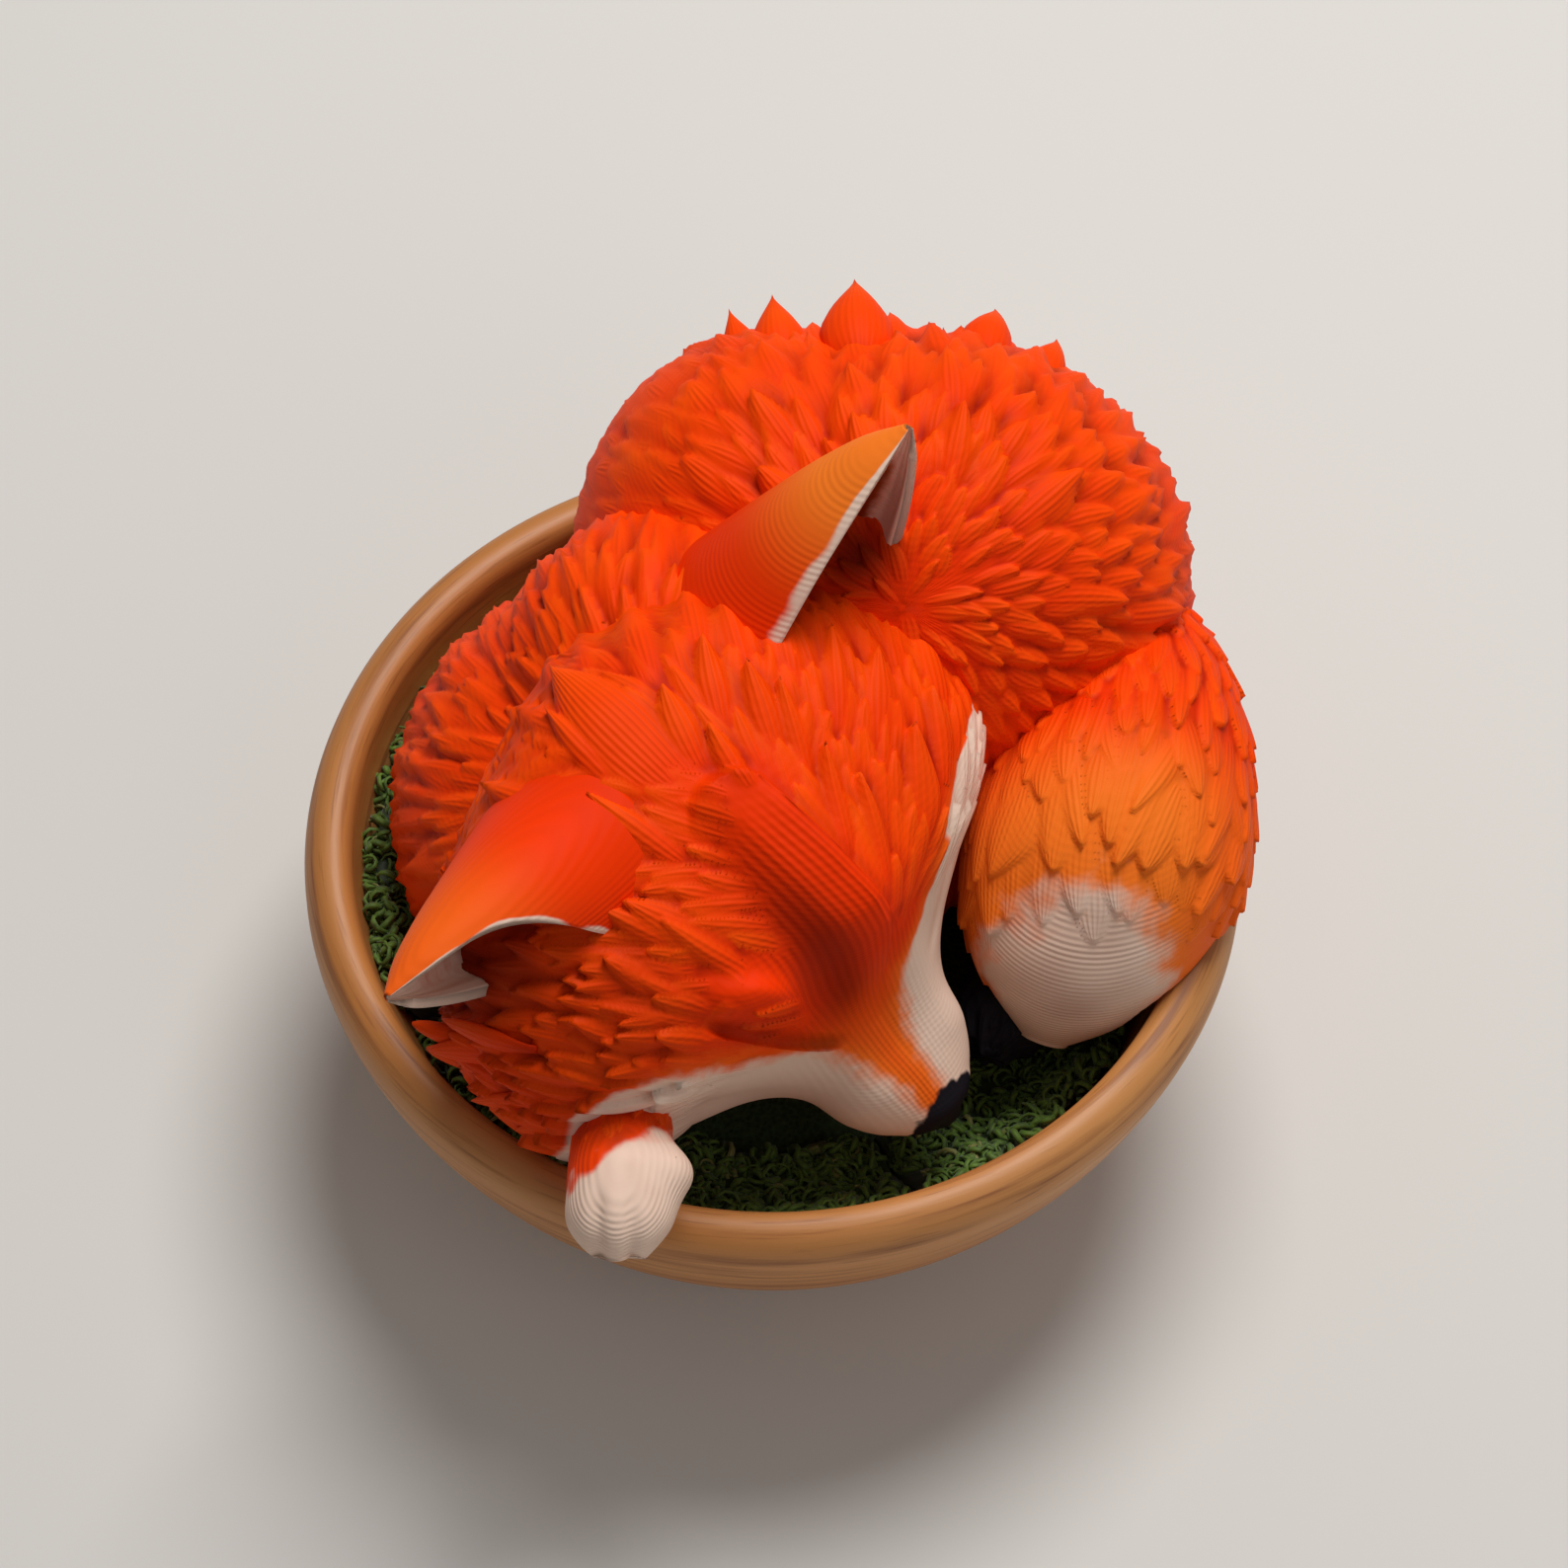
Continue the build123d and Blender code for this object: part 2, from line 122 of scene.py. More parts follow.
class StudioLook(bpy.types.PropertyGroup):
    floor: colour("Floor", "Pale paper that the bowl stands on", "#DCD8D2")
    key_power: bpy.props.FloatProperty(
        name="Key light", description="Power of the large soft light", unit="POWER", min=0, default=3.5
    )
    fill: bpy.props.FloatProperty(
        name="Fill", description="Strength of the even light from all round", min=0, default=0.21
    )


# ---- arrays ----

def unit(vectors):
    return vectors / np.maximum(np.linalg.norm(vectors, axis=-1, keepdims=True), 1e-9)


def square_to(vectors, axis):
    """Unit vectors with their part along the axis taken out."""
    return unit(vectors - axis * (vectors * axis).sum(-1, keepdims=True))


def ease(value, low, high):
    """0 below low, 1 above high, and 3t^2 - 2t^3 in between."""
    t = np.clip((value - low) / (high - low), 0, 1)
    return t * t * (3 - 2 * t)


def hump(*places):
    """1 in the middle and falling away all round: exp(-(a^2 + b^2 + ...))."""
    return np.exp(-sum(place**2 for place in places))


def distance(points, place):
    return np.linalg.norm(points - np.array(place), axis=-1)


def turns(count):
    return np.linspace(0, ROUND, count, endpoint=False)


def runs(points):
    """Length of a line of points up to each of them."""
    return np.concatenate([[0], np.cumsum(np.linalg.norm(np.diff(points, axis=0), axis=1))])


def table_at(value, table, column=1):
    knots = np.asarray(table, float)
    return np.interp(value, knots[:, 0], knots[:, column])


def through(at, knots, values):
    """Values at given places on a cubic curve that runs through the knots, with each knot's slope taken
    from its neighbours (cubic Hermite)."""
    knots, values = np.asarray(knots, float), np.asarray(values, float)
    slopes = np.gradient(values, knots, axis=0)
    cell = np.clip(np.searchsorted(knots, at, side="right") - 1, 0, len(knots) - 2)
    step = (knots[cell + 1] - knots[cell])[:, None]
    t = (at[:, None] - knots[cell][:, None]) / step
    return (
        (2 * t**3 - 3 * t**2 + 1) * values[cell] + (t**3 - 2 * t**2 + t) * step * slopes[cell]
        + (3 * t**2 - 2 * t**3) * values[cell + 1] + (t**3 - t**2) * step * slopes[cell + 1]
    )


def waves(points, scale, seed):
    """Smooth unevenness between about -1 and 1: nine sine waves in random directions, as long as the scale."""
    rng = np.random.default_rng(seed)
    total = np.zeros(points.shape[:-1])
    for _ in range(9):
        direction = unit(rng.normal(size=3))
        length = scale * rng.uniform(0.7, 1.6)
        total += np.sin(points @ direction * (ROUND / length) + rng.uniform(0, ROUND))
    return total / 4.5


def normals_of(grid):
    """Outward normals of a grid that closes round its columns: the cross product of the steps along the
    rows and round the columns, turned away from the middle."""
    normal = unit(np.cross(np.gradient(grid, axis=0), np.roll(grid, -1, 1) - np.roll(grid, 1, 1)))
    if (normal * (grid - grid.mean(axis=(0, 1)))).sum() < 0:
        normal = -normal
    normal[0], normal[-1] = unit(normal[1].mean(0)), unit(normal[-2].mean(0))
    return normal


def sample(array, row, column):
    """Array at fractional rows and columns: the weighted mean of the four grid points round each place."""
    rows, columns = array.shape[:2]
    row = np.clip(row, 0, rows - 1.001)
    low, left = row.astype(int), np.floor(column).astype(int)
    t, s = (row - low)[:, None], (column - left)[:, None]
    left, right = left % columns, (left + 1) % columns
    return (
        array[low, left] * (1 - t) * (1 - s) + array[low + 1, left] * t * (1 - s)
        + array[low, right] * (1 - t) * s + array[low + 1, right] * t * s
    )


def soften(values, reach):
    """Mean over a square of neighbours, row by row and then round the columns."""
    wide = 2 * reach + 1
    rows = np.pad(values, ((reach + 1, reach), (0, 0)), mode="edge")
    rows[0] = 0
    total = np.cumsum(rows, axis=0)
    values = (total[wide:] - total[:-wide]) / wide
    columns = np.pad(values, ((0, 0), (reach + 1, reach)), mode="wrap")
    columns[:, 0] = 0
    total = np.cumsum(columns, axis=1)
    return (total[:, wide:] - total[:, :-wide]) / wide


# ---- meshes ----

def grid_faces(rows, columns):
    """Corners of the faces of a grid closed round its columns, with one point at each end."""
    row, column = np.meshgrid(np.arange(rows - 1), np.arange(columns), indexing="ij")
    here, after = 1 + row * columns, (column + 1) % columns
    quads = np.stack([here + column, here + after, here + columns + after, here + columns + column], -1)
    ring = np.arange(columns)
    beside, last = (ring + 1) % columns, 1 + (rows - 1) * columns
    top = np.stack([0 * ring, 1 + beside, 1 + ring], -1)
    end = np.stack([0 * ring + last + columns, last + ring, last + beside], -1)
    return quads.reshape(-1, 4), np.vstack([top, end])


def shells(stack):
    """Points and faces of like closed grids (count, rows, columns, 3): each grid's own points, between the
    middles of its first and last rings as poles."""
    count, rows, columns = stack.shape[:3]
    points = np.concatenate([
        stack[:, 0].mean(1, keepdims=True), stack.reshape(count, rows * columns, -1),
        stack[:, -1].mean(1, keepdims=True),
    ], axis=1)
    quads, ends = grid_faces(rows, columns)
    offsets = (np.arange(count) * points.shape[1])[:, None, None]
    return points.reshape(-1, stack.shape[-1]), (quads + offsets).reshape(-1, 4), (ends + offsets).reshape(-1, 3)


def make_piece(name, parts, channels, material, body, node):
    """One object from closed parts. Each part is (points, quads, triangles) with columns x, y, z in
    millimetres and then one for each channel, which becomes a point attribute. A part's faces are turned so
    that its signed volume is positive."""
    all_points, all_quads, all_ends, first = [], [], [], 0
    for points, quads, ends in parts:
        triangles = np.vstack([quads[:, :3], quads[:, [0, 2, 3]], ends])
        a, b, c = (points[triangles[:, k], :3] for k in range(3))
        turn = -1 if np.einsum("ij,ij->i", a, np.cross(b, c)).sum() < 0 else 1
        all_points.append(points)
        all_quads.append(quads[:, ::turn] + first)
        all_ends.append(ends[:, ::turn] + first)
        first += len(points)
    points, quads, ends = np.vstack(all_points), np.vstack(all_quads), np.vstack(all_ends)
    mesh = bpy.data.meshes.new(name)
    mesh.vertices.add(len(points))
    mesh.vertices.foreach_set("co", (points[:, :3] * MM).astype(np.float32).ravel())
    corners = np.concatenate([quads.ravel(), ends.ravel()]).astype(np.int32)
    mesh.loops.add(len(corners))
    mesh.loops.foreach_set("vertex_index", corners)
    starts = np.concatenate([np.arange(len(quads)) * 4, len(quads) * 4 + np.arange(len(ends)) * 3])
    mesh.polygons.add(len(starts))
    mesh.polygons.foreach_set("loop_start", starts.astype(np.int32))
    mesh.update(calc_edges=True)
    mesh.validate()
    for index, channel in enumerate(channels):
        layer = mesh.attributes.new(channel, "FLOAT", "POINT")
        layer.data.foreach_set("value", points[:, 3 + index].astype(np.float32))
    mesh.shade_smooth()
    mesh.materials.append(material)
    piece = bpy.data.objects.new(name, mesh)
    bpy.context.scene.collection.objects.link(piece)
    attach(piece, body)
    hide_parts(node)


def fur_piece(name, node, *parts, slot="painted_print"):
    material = bpy.data.materials.get(PRINT) or painted_print()
    make_piece(name, parts, FUR_CHANNELS, material, FOX, node)
    return {"FINISHED"}


# ---- materials ----

def add_node(tree, kind, inputs=None, out=0, **settings):
    """Adds one node and gives one of its outputs. Settings are its own properties; inputs are its sockets by
    name or number, each a value, another node's output, or None to leave it."""
    node = tree.nodes.new("ShaderNode" + kind)
    for key, value in settings.items():
        setattr(node, key, value)
    for key, value in (inputs or {}).items():
        if isinstance(value, bpy.types.NodeSocket):
            tree.links.new(value, node.inputs[key])
        elif value is not None:
            node.inputs[key].default_value = value
    return node.outputs[out] if node.outputs else node


def new_material(name):
    material = bpy.data.materials.new(name)
    material.use_nodes = True
    material.node_tree.nodes.clear()
    return material, partial(add_node, material.node_tree)


def painted_print():
    """Layered resin-and-filament print, brushed with matt acrylic. The eye gets level print lines, fine sculpted hairs,
    painted shade in the hollows and the hair grooves, and painted highlights on the tips of the locks, with a low satin
    shine."""
    tints, build = bpy.context.scene.fox_paint, bpy.context.scene.fox_print
    material, node = new_material(PRINT)
    reach, hollow_shade, hair, calm, cream, soot, glow, deep = (
        node("Attribute", attribute_name=channel, out="Fac") for channel in FUR_CHANNELS
    )
    spot = node("TexCoord", out="Object")
    # brush marks: streaks of about 1.2 mm, and blotches of about 7 mm where the coat is thicker
    streaks = node("TexNoise", {"Vector": spot, "Scale": 830.0, "Detail": 3.0})
    blotches = node("TexNoise", {"Vector": spot, "Scale": 140.0, "Detail": 2.0})

    hairs = node("Math", {0: hair, 1: ROUND}, operation="MULTIPLY")
    hairs = node("Math", {0: hairs}, operation="COSINE")
    hairs = node("Math", {0: hairs, 1: calm}, operation="MULTIPLY")
    # painted shade in the hair grooves, which joins the painted shade of the hollows
    grooves = node("Math", {0: calm, 1: hairs}, operation="SUBTRACT")
    grooves = node("Math", {0: grooves, 1: 0.09}, operation="MULTIPLY")
    wash_and_shade = node("Math", {0: hollow_shade, 1: 1.1, 2: grooves}, operation="MULTIPLY_ADD", use_clamp=True)
    # painted highlight on the tips of the locks, in blotches
    highlight_share = node("Math", {0: reach, 1: blotches}, operation="MULTIPLY", use_clamp=True)
    # painted shade on the cream, less strong than on the orange
    cream_shade_share = node("Math", {0: wash_and_shade, 1: 0.4}, operation="MULTIPLY")
    pale = node("Mix", {0: cream_shade_share, 6: tints.cream, 7: tints.cream_shade}, data_type="RGBA", out=2)
    # the edge between two paints is broken up by the streaks
    ragged = node("Math", {0: streaks, 1: 0.5}, operation="SUBTRACT")
    edges = []
    for mask, raggedness in ((cream, 0.4), (soot, 0.9)):
        mask = node("Math", {0: ragged, 1: raggedness, 2: mask}, operation="MULTIPLY_ADD")
        limits = {"Value": mask, "From Min": 0.2, "From Max": 0.8}
        edges.append(node("MapRange", limits, interpolation_type="SMOOTHSTEP"))
    # the orange gets painted shade, painted highlights, amber and the darkest painted shade, and then cream and black
    coat = tints.orange
    for share, tint in (
        (wash_and_shade, tints.crevice_shade), (highlight_share, tints.tip_highlight), (glow, tints.amber), (deep, tints.shadow),
        (edges[0], pale), (edges[1], tints.soot),
    ):
        coat = node("Mix", {0: share, 6: coat, 7: tint}, data_type="RGBA", out=2)

    # print lines: the layers really are 0.2 mm, and are drawn at the spacing that shows in the picture
    layers = node("Math", {0: node("SeparateXYZ", {0: spot}, out="Z"), 1: ROUND / build.layer}, operation="MULTIPLY")
    layers = node("Math", {0: layers}, operation="SINE")
    relief = None
    for height, depth, strength in (
        (layers, 0.006 * MM, 1.0), (hairs, build.hair_depth * 0.21, 1.0), (streaks, 0.03 * MM, 0.4),
    ):
        relief = node("Bump", {"Height": height, "Distance": depth, "Strength": strength, "Normal": relief})
    shader = node("BsdfPrincipled", {
        "Base Color": coat, "Roughness": 0.55, "Specular IOR Level": 0.06, "IOR": 1.49, "Normal": relief,
    })
    node("OutputMaterial", {"Surface": shader})
    return material


def oiled_beech():
    """Turned beech, oiled. The eye gets grain that runs round the rim in thin darker lines, paler bands,
    short flecks and a soft oil shine."""
    finish = bpy.context.scene.bowl_finish
    material, node = new_material("Oiled turned beech")
    east, north, down = (node("Attribute", attribute_name=channel, out="Fac") for channel in GRAIN_CHANNELS)
    # the grain is about twenty times as long as it is wide, so round the bowl it is read more slowly
    along = node("CombineXYZ", {0: east, 1: north, 2: down})
    width = finish.grain_width / MM
    lines = node("TexNoise", {"Vector": along, "Scale": 1.1 / width, "Detail": 5.0, "Roughness": 0.62})
    bands = node("TexNoise", {"Vector": along, "Scale": 0.22 / width, "Detail": 2.0})
    pores = node("TexNoise", {"Vector": along, "Scale": 4.4 / width, "Detail": 2.0})
    wood = finish.wood
    for noise, low, high, share, tint in (
        (bands, 0.38, 0.66, 1.0, finish.pale), (lines, 0.5, 0.68, 0.72, finish.grain),
        (pores, 0.6, 0.72, 0.35, finish.grain),
    ):
        share = node("MapRange", {"Value": noise, "From Min": low, "From Max": high, "To Max": share})
        wood = node("Mix", {0: share, 6: wood, 7: tint}, data_type="RGBA", out=2)
    rough = node("MapRange", {"Value": lines, "To Min": 0.38, "To Max": 0.6})
    relief = node("Bump", {"Height": lines, "Distance": 0.12 * MM, "Strength": 0.5})
    shader = node("BsdfPrincipled", {"Base Color": wood, "Roughness": rough, "Normal": relief})
    node("OutputMaterial", {"Surface": shader})
    return material


def preserved_moss():
    """Dyed, glycerine-soaked moss. The eye gets fleshy curled leaves, with painted shade that makes them nearly black
    low in the clump, some straw-coloured ones and a dull sheen."""
    finish = bpy.context.scene.moss_finish
    material, node = new_material("Preserved moss")
    depth, tone = (node("Attribute", attribute_name=channel, out="Fac") for channel in MOSS_CHANNELS)
    mottle = node("TexNoise", {"Vector": node("TexCoord", out="Object"), "Scale": 900.0, "Detail": 2.0})
    # painted shade: the lower a leaf lies in the clump, the darker it is
    lit = node("Math", {0: depth, 1: mottle}, operation="MULTIPLY")
    lit = node("MapRange", {"Value": lit, "From Min": 0.05, "From Max": 0.55})
    dry = node("MapRange", {"Value": tone, "From Min": 0.93, "From Max": 0.97, "To Max": 0.8})
    leaf = node("Mix", {0: lit, 6: finish.shade, 7: finish.leaf}, data_type="RGBA", out=2)
    leaf = node("Mix", {0: dry, 6: leaf, 7: finish.straw}, data_type="RGBA", out=2)
    relief = node("Bump", {"Height": mottle, "Distance": 0.06 * MM, "Strength": 0.7})
    shader = node("BsdfPrincipled", {"Base Color": leaf, "Roughness": 0.62, "Sheen Weight": 0.15, "Normal": relief})
    node("OutputMaterial", {"Surface": shader})
    return material


def raw_rod():
    """Unfinished birch dowel with fine grain along it."""
    material, node = new_material("Raw birch rod")
    grain = node("TexNoise", {"Vector": node("TexCoord", out="Object"), "Scale": 1600.0, "Detail": 3.0})
    wood = node("Mix", {0: grain, 6: paint("#D8BC8C"), 7: paint("#B8935E")}, data_type="RGBA", out=2)
    node("OutputMaterial", {"Surface": node("BsdfPrincipled", {"Base Color": wood, "Roughness": 0.7})})
    return material


def craft_foam():
    """Green open-cell craft foam: crumbly cells of about half a millimetre, quite dull."""
    material, node = new_material("Green craft foam")
    cells = node("TexVoronoi", {"Vector": node("TexCoord", out="Object"), "Scale": 1900.0}, out="Distance")
    green = node("Mix", {0: cells, 6: paint("#24341A"), 7: paint("#42592B")}, data_type="RGBA", out=2)
    relief = node("Bump", {"Height": cells, "Distance": 0.3 * MM, "Strength": 0.8})
    shader = node("BsdfPrincipled", {"Base Color": green, "Roughness": 0.9, "Normal": relief})
    node("OutputMaterial", {"Surface": shader})
    return material


# ---- the fox's forms, in millimetres ----

# ellipsoids: middle and half sizes
BACK = ((14.0, 23.0, 44.0), (26.4, 23.6, 26.0))
FLANK = ((-1.0, 26.5, 43.2), (19.0, 21.0, 25.0))
BELLY = ((5.0, 14.0, 32.0), (21.0, 22.0, 18.5))
RUFF = ((-17.2, 2.5, 36.0), (19.3, 22.5, 20.5))
NECK = ((-10.0, 8.5, 48.5), (16.0, 16.5, 17.0))
# the middle that a form is read from, and the crown from which its fur spreads
BODY_MIDDLE, BODY_CROWN = (6.0, 25.0, 43.5), (11.8, 7.2, 63.2)
RUFF_MIDDLE, RUFF_CROWN = (-13.0, 6.0, 42.0), (-11.0, -13.0, 60.0)
# rings of main locks: degrees from the crown, first turn, last turn and number
BODY_RINGS = ((24, 168, 300, 5), (39, 162, 312, 7), (54, 158, 318, 9), (69, 164, 322, 9), (84, 182, 322, 8))
RUFF_RINGS = ((30, 90, 310, 9), (46, 80, 330, 12), (62, 80, 330, 14), (78, 80, 330, 15), (94, 80, 330, 15))
# a painted shadow on the back falls round this place, under the far ear
EAR_SHADE = (7.5, 11.4, 65.7)       # where the far ear opens over the back
# free space between the moss: height and radius
ROOM = ((15.0, 28.0), (20.0, 29.5), (25.0, 32.2), (30.0, 35.6), (34.0, 38.6), (36.4, 39.9), (37.3, 41.2))
LAY_HEIGHT = 15.3                   # of the belly over the table

NOSE_AT = np.array([16.1, -28.0, 31.5])
NOSE_LOCAL = (33.5, 0.0, -6.0)
HEAD_TURN = (40.5, 27.0, 4.0)       # heading, nose down and far side up, in degrees
# sections of the head: place ahead, height of the middle, half width, size up and size down
HEAD = (
    (-22.2, 0.0, 2.0, 1.5, 1.5), (-21.0, 0.0, 6.0, 5.0, 5.0), (-18.0, -0.5, 14.0, 10.0, 9.5),
    (-12.0, -2.0, 23.0, 15.0, 12.0), (-5.0, -4.0, 28.0, 19.0, 11.5), (2.0, -5.5, 30.0, 21.0, 10.5),
    (8.0, -6.0, 29.0, 21.0, 10.0), (12.5, -6.0, 24.5, 19.5, 9.5), (16.0, -6.0, 18.5, 16.5, 8.5),
    (19.5, -6.2, 13.0, 12.5, 7.5), (23.5, -6.4, 9.0, 8.9, 6.6), (28.0, -6.6, 7.0, 6.6, 5.6),
    (31.5, -6.4, 5.2, 4.6, 4.2), (33.6, -6.0, 3.2, 2.9, 2.9), (34.8, -6.0, 1.0, 0.9, 0.9),
)
# locks of the head in its own directions: root, tip and half width, the large ones first
HEAD_LOCKS = (
    (-4.9, -4.6, 14.9, -21.4, -3.9, 5.6, 4.0), (-12.7, 5.1, 12.5, -20.4, 13.4, 4.4, 1.7),
    (-15.0, 1.3, 11.4, -22.9, 8.4, 3.4, 1.7), (-6.8, -1.7, 14.6, -14.6, 1.0, 12.9, 1.7),
    (-7.6, 2.2, 14.4, -15.2, 7.8, 12.0, 1.6), (-2.4, 4.0, 15.1, -10.4, 9.0, 13.9, 1.6),
    (7.0, -11.4, 14.2, -2.6, -15.6, 13.6, 1.7), (9.0, -17.0, 11.4, 1.4, -23.4, 9.6, 2.0),
    (7.0, -22.3, 8.6, -0.4, -27.6, 5.8, 2.0), (11.6, -20.9, 6.2, 3.4, -27.6, 4.4, 2.0),
    (12.0, 9.0, 12.2, 4.4, 16.6, 12.9, 1.7), (3.4, 12.0, 13.8, -3.4, 19.6, 11.4, 1.7),
    (5.0, 20.0, 9.6, -1.6, 27.4, 6.2, 1.8), (-17.8, 5.9, 9.1, -25.5, 12.3, 3.1, 1.2),
    (-18.5, 3.1, 8.7, -26.5, 8.6, 2.6, 1.2), (-2.4, -0.3, 15.3, -9.1, 1.6, 14.3, 1.2),
    (-18.7, -1.8, 8.6, -26.0, 5.7, -1.6, 1.2), (-19.8, -3.7, 6.5, -25.9, 1.4, -4.3, 1.2),
    (4.0, -20.1, 10.9, -3.4, -25.3, 6.3, 1.3), (5.7, -15.1, 13.1, -2.1, -21.1, 10.4, 1.3),
    (17.1, -13.6, 3.8, 7.2, -21.9, 8.0, 1.5), (4.1, -13.7, 13.7, -4.1, -16.7, 12.6, 1.2),
    (9.0, -10.9, 13.4, 0.6, -14.2, 13.9, 1.1), (7.5, 2.1, 14.8, -0.8, 8.0, 15.0, 1.1),
    (11.7, 3.1, 13.6, 3.3, 8.7, 14.9, 1.1), (-0.3, 10.4, 14.5, -7.7, 17.9, 11.1, 1.1),
    (3.1, 21.0, 9.8, -3.5, 28.6, 4.8, 1.2), (9.4, 14.6, 11.0, 2.9, 21.0, 10.1, 1.2),
    (1.0, 4.4, 15.2, -7.7, 9.6, 14.1, 1.1), (-10.0, -8.0, 13.4, -19.6, -6.4, 8.4, 1.4),
    (-9.0, 7.4, 13.2, -17.4, 13.6, 7.4, 1.3), (-5.6, 10.0, 13.6, -13.4, 16.6, 9.6, 1.3),
    (-2.0, -9.0, 14.8, -12.0, -10.4, 12.9, 1.3), (-14.8, -6.2, 11.4, -23.0, -7.4, 2.8, 1.5),
    (-11.4, -12.2, 11.6, -19.4, -15.4, 5.6, 1.5),
)
# lobes of the near cheek that stand out over the moss and the rim: also their thickness and arch
CHEEK_LOBES = (
    (9.4, -24.8, 3.6, 3.4, -30.6, -2.8, 1.9, 0.57, 1.1), (1.8, -27.8, 1.6, -4.4, -31.8, -6.4, 1.8, 0.54, 0.3),
    (10.8, -25.0, 0.6, 6.4, -31.0, -6.6, 1.8, 0.54, 0.7), (8.0, -27.2, 2.4, 1.7, -31.9, -7.3, 1.5, 0.45, 0.5),
    (11.4, -24.1, 2.4, 5.6, -30.8, -5.1, 1.5, 0.45, 0.9), (1.5, -28.4, 5.4, -5.9, -30.3, -1.1, 1.4, 0.42, 0.5),
    (3.0, -26.0, -3.0, -7.2, -31.4, -5.6, 1.9, 1.1, 0.5), (5.0, -25.5, -6.0, -4.4, -31.0, -9.6, 1.9, 1.1, 0.5),
    (4.0, -26.6, -0.6, -4.4, -30.2, -3.2, 1.9, 1.1, 0.5), (7.6, -24.0, -8.6, -0.6, -29.4, -12.4, 1.9, 1.1, 0.5),
    (10.4, -22.0, -8.0, 3.0, -29.0, -11.6, 1.9, 1.1, 0.5),
)
# fins along the back's outline: root, tip, half width, thickness and arch
BACK_SPIKES = (
    (-1.5, 34.0, 59.0, -4.3, 44.6, 59.8, 2.1, 1.3, 0.6), (1.0, 33.0, 62.0, -0.1, 45.2, 61.2, 2.8, 1.6, 0.6),
    (8.4, 32.0, 65.0, 7.8, 45.8, 62.8, 3.6, 2.0, 0.6), (12.2, 34.5, 64.0, 11.2, 44.0, 60.0, 2.1, 1.2, 0.5),
    (20.0, 34.0, 63.4, 21.4, 44.4, 60.0, 2.7, 1.6, 0.6), (25.4, 33.5, 60.0, 27.4, 42.6, 57.6, 2.3, 1.4, 0.5),
    (5.2, 30.0, 66.0, 3.2, 39.0, 63.4, 2.0, 0.9, 0.5), (15.6, 29.5, 67.0, 16.2, 39.2, 63.8, 2.0, 0.9, 0.5),
)
# large leaves of the tail: root, tip and half width
TAIL_LOCKS = (
    (25.2, -8.9, 51.2, 25.1, -16.5, 46.4, 1.8), (29.0, -10.8, 51.7, 29.6, -18.3, 45.9, 1.9),
    (36.4, -7.2, 52.7, 35.9, -15.3, 48.0, 2.1), (40.2, -9.4, 49.3, 40.9, -14.8, 42.8, 1.7),
    (32.3, -4.0, 54.2, 33.1, -12.1, 51.9, 1.8), (38.1, 2.2, 53.2, 38.9, -6.1, 52.5, 1.8),
    (21.6, -7.1, 49.0, 20.9, -14.5, 44.3, 1.5), (42.3, -1.3, 50.2, 43.5, -8.5, 45.9, 1.6),
    (27.4, -2.4, 53.5, 27.7, -11.1, 51.9, 1.6), (33.1, -11.7, 51.2, 33.0, -16.9, 47.4, 1.6),
)
TAIL_MIDDLE = (31.0, -3.0, 40.0)
TAIL_PATH = ((33, 22, 38), (34.5, 14, 40.5), (34, 5.5, 42), (32, -2.5, 41), (29.5, -9.5, 37), (27, -15.5, 32),
             (25.5, -19, 28.5))
TAIL_RADII = (7.0, 9.6, 12.0, 13.7, 12.6, 8.5, 2.4)
FOREPAW_PATH = ((-15, -15, 31.5), (-14.5, -22, 34), (-14, -29, 37.6), (-13.6, -36, 42.4), (-13.6, -42, 43.9),
                (-13.6, -46, 43.0), (-13.6, -48.6, 41.6))
FOREPAW_RADII = (5.0, 5.0, 4.9, 4.9, 5.2, 4.9, 2.5)
HIND_PAW_PATH = ((24.5, 12, 28), (25.6, 4, 26.6), (25.5, -3, 26.4), (24, -9, 26.8), (22.4, -14, 27.2),
                 (21, -17.8, 27.4), (20.2, -20.2, 27.2))
HIND_PAW_RADII = (4.4, 4.4, 4.5, 4.6, 4.7, 4.2, 1.6)
# ears: foot, tip, the way it opens, half width, half depth and the turn of its lips
FAR_EAR = ((-0.2, 6.2, 57.8), (12.1, 13.6, 82.2), (0.75, -0.50, 0.20), 9.2, 11.6, (1.92, 1.92, 0.0))
NEAR_EAR = ((-17.0, -17.0, 57.6), (-32.8, -35.8, 67.4), (0.42, -0.85, -0.10), 9.4, 9.2, (2.1, 1.8, 0.95))


def head_axes():
    """The head's origin and its forward, far-side and up directions, from its heading, pitch and roll."""
    heading, pitch, roll = (math.radians(angle) for angle in HEAD_TURN)
    side = np.array([math.sin(heading), math.cos(heading), 0])
    forward = np.array([math.cos(heading) * math.cos(pitch), -math.sin(heading) * math.cos(pitch), -math.sin(pitch)])
    far = side * math.cos(roll) + np.cross(forward, side) * math.sin(roll)
    axes = np.stack([forward, far, np.cross(forward, far)])
    return NOSE_AT - NOSE_LOCAL @ axes, axes


HEAD_ORIGIN, HEAD_AXES = head_axes()


def to_head(points):
    return (points - HEAD_ORIGIN) @ HEAD_AXES.T


def from_head(points):
    return HEAD_ORIGIN + points @ HEAD_AXES


def head_table(rows):
    rows = np.array(rows)
    return np.hstack([from_head(rows[:, :3]), from_head(rows[:, 3:6]), rows[:, 6:]])


def crown_rays(middle, crown, polar, turn):
    """Directions from the middle, by the angle from the line to the crown and the turn about that line."""
    axis = unit(np.asarray(crown, float) - middle)
    side = unit(np.cross(axis, [0, 0, 1.0]))
    return np.cos(polar) * axis + np.sin(polar) * (np.cos(turn) * side + np.sin(turn) * np.cross(axis, side))


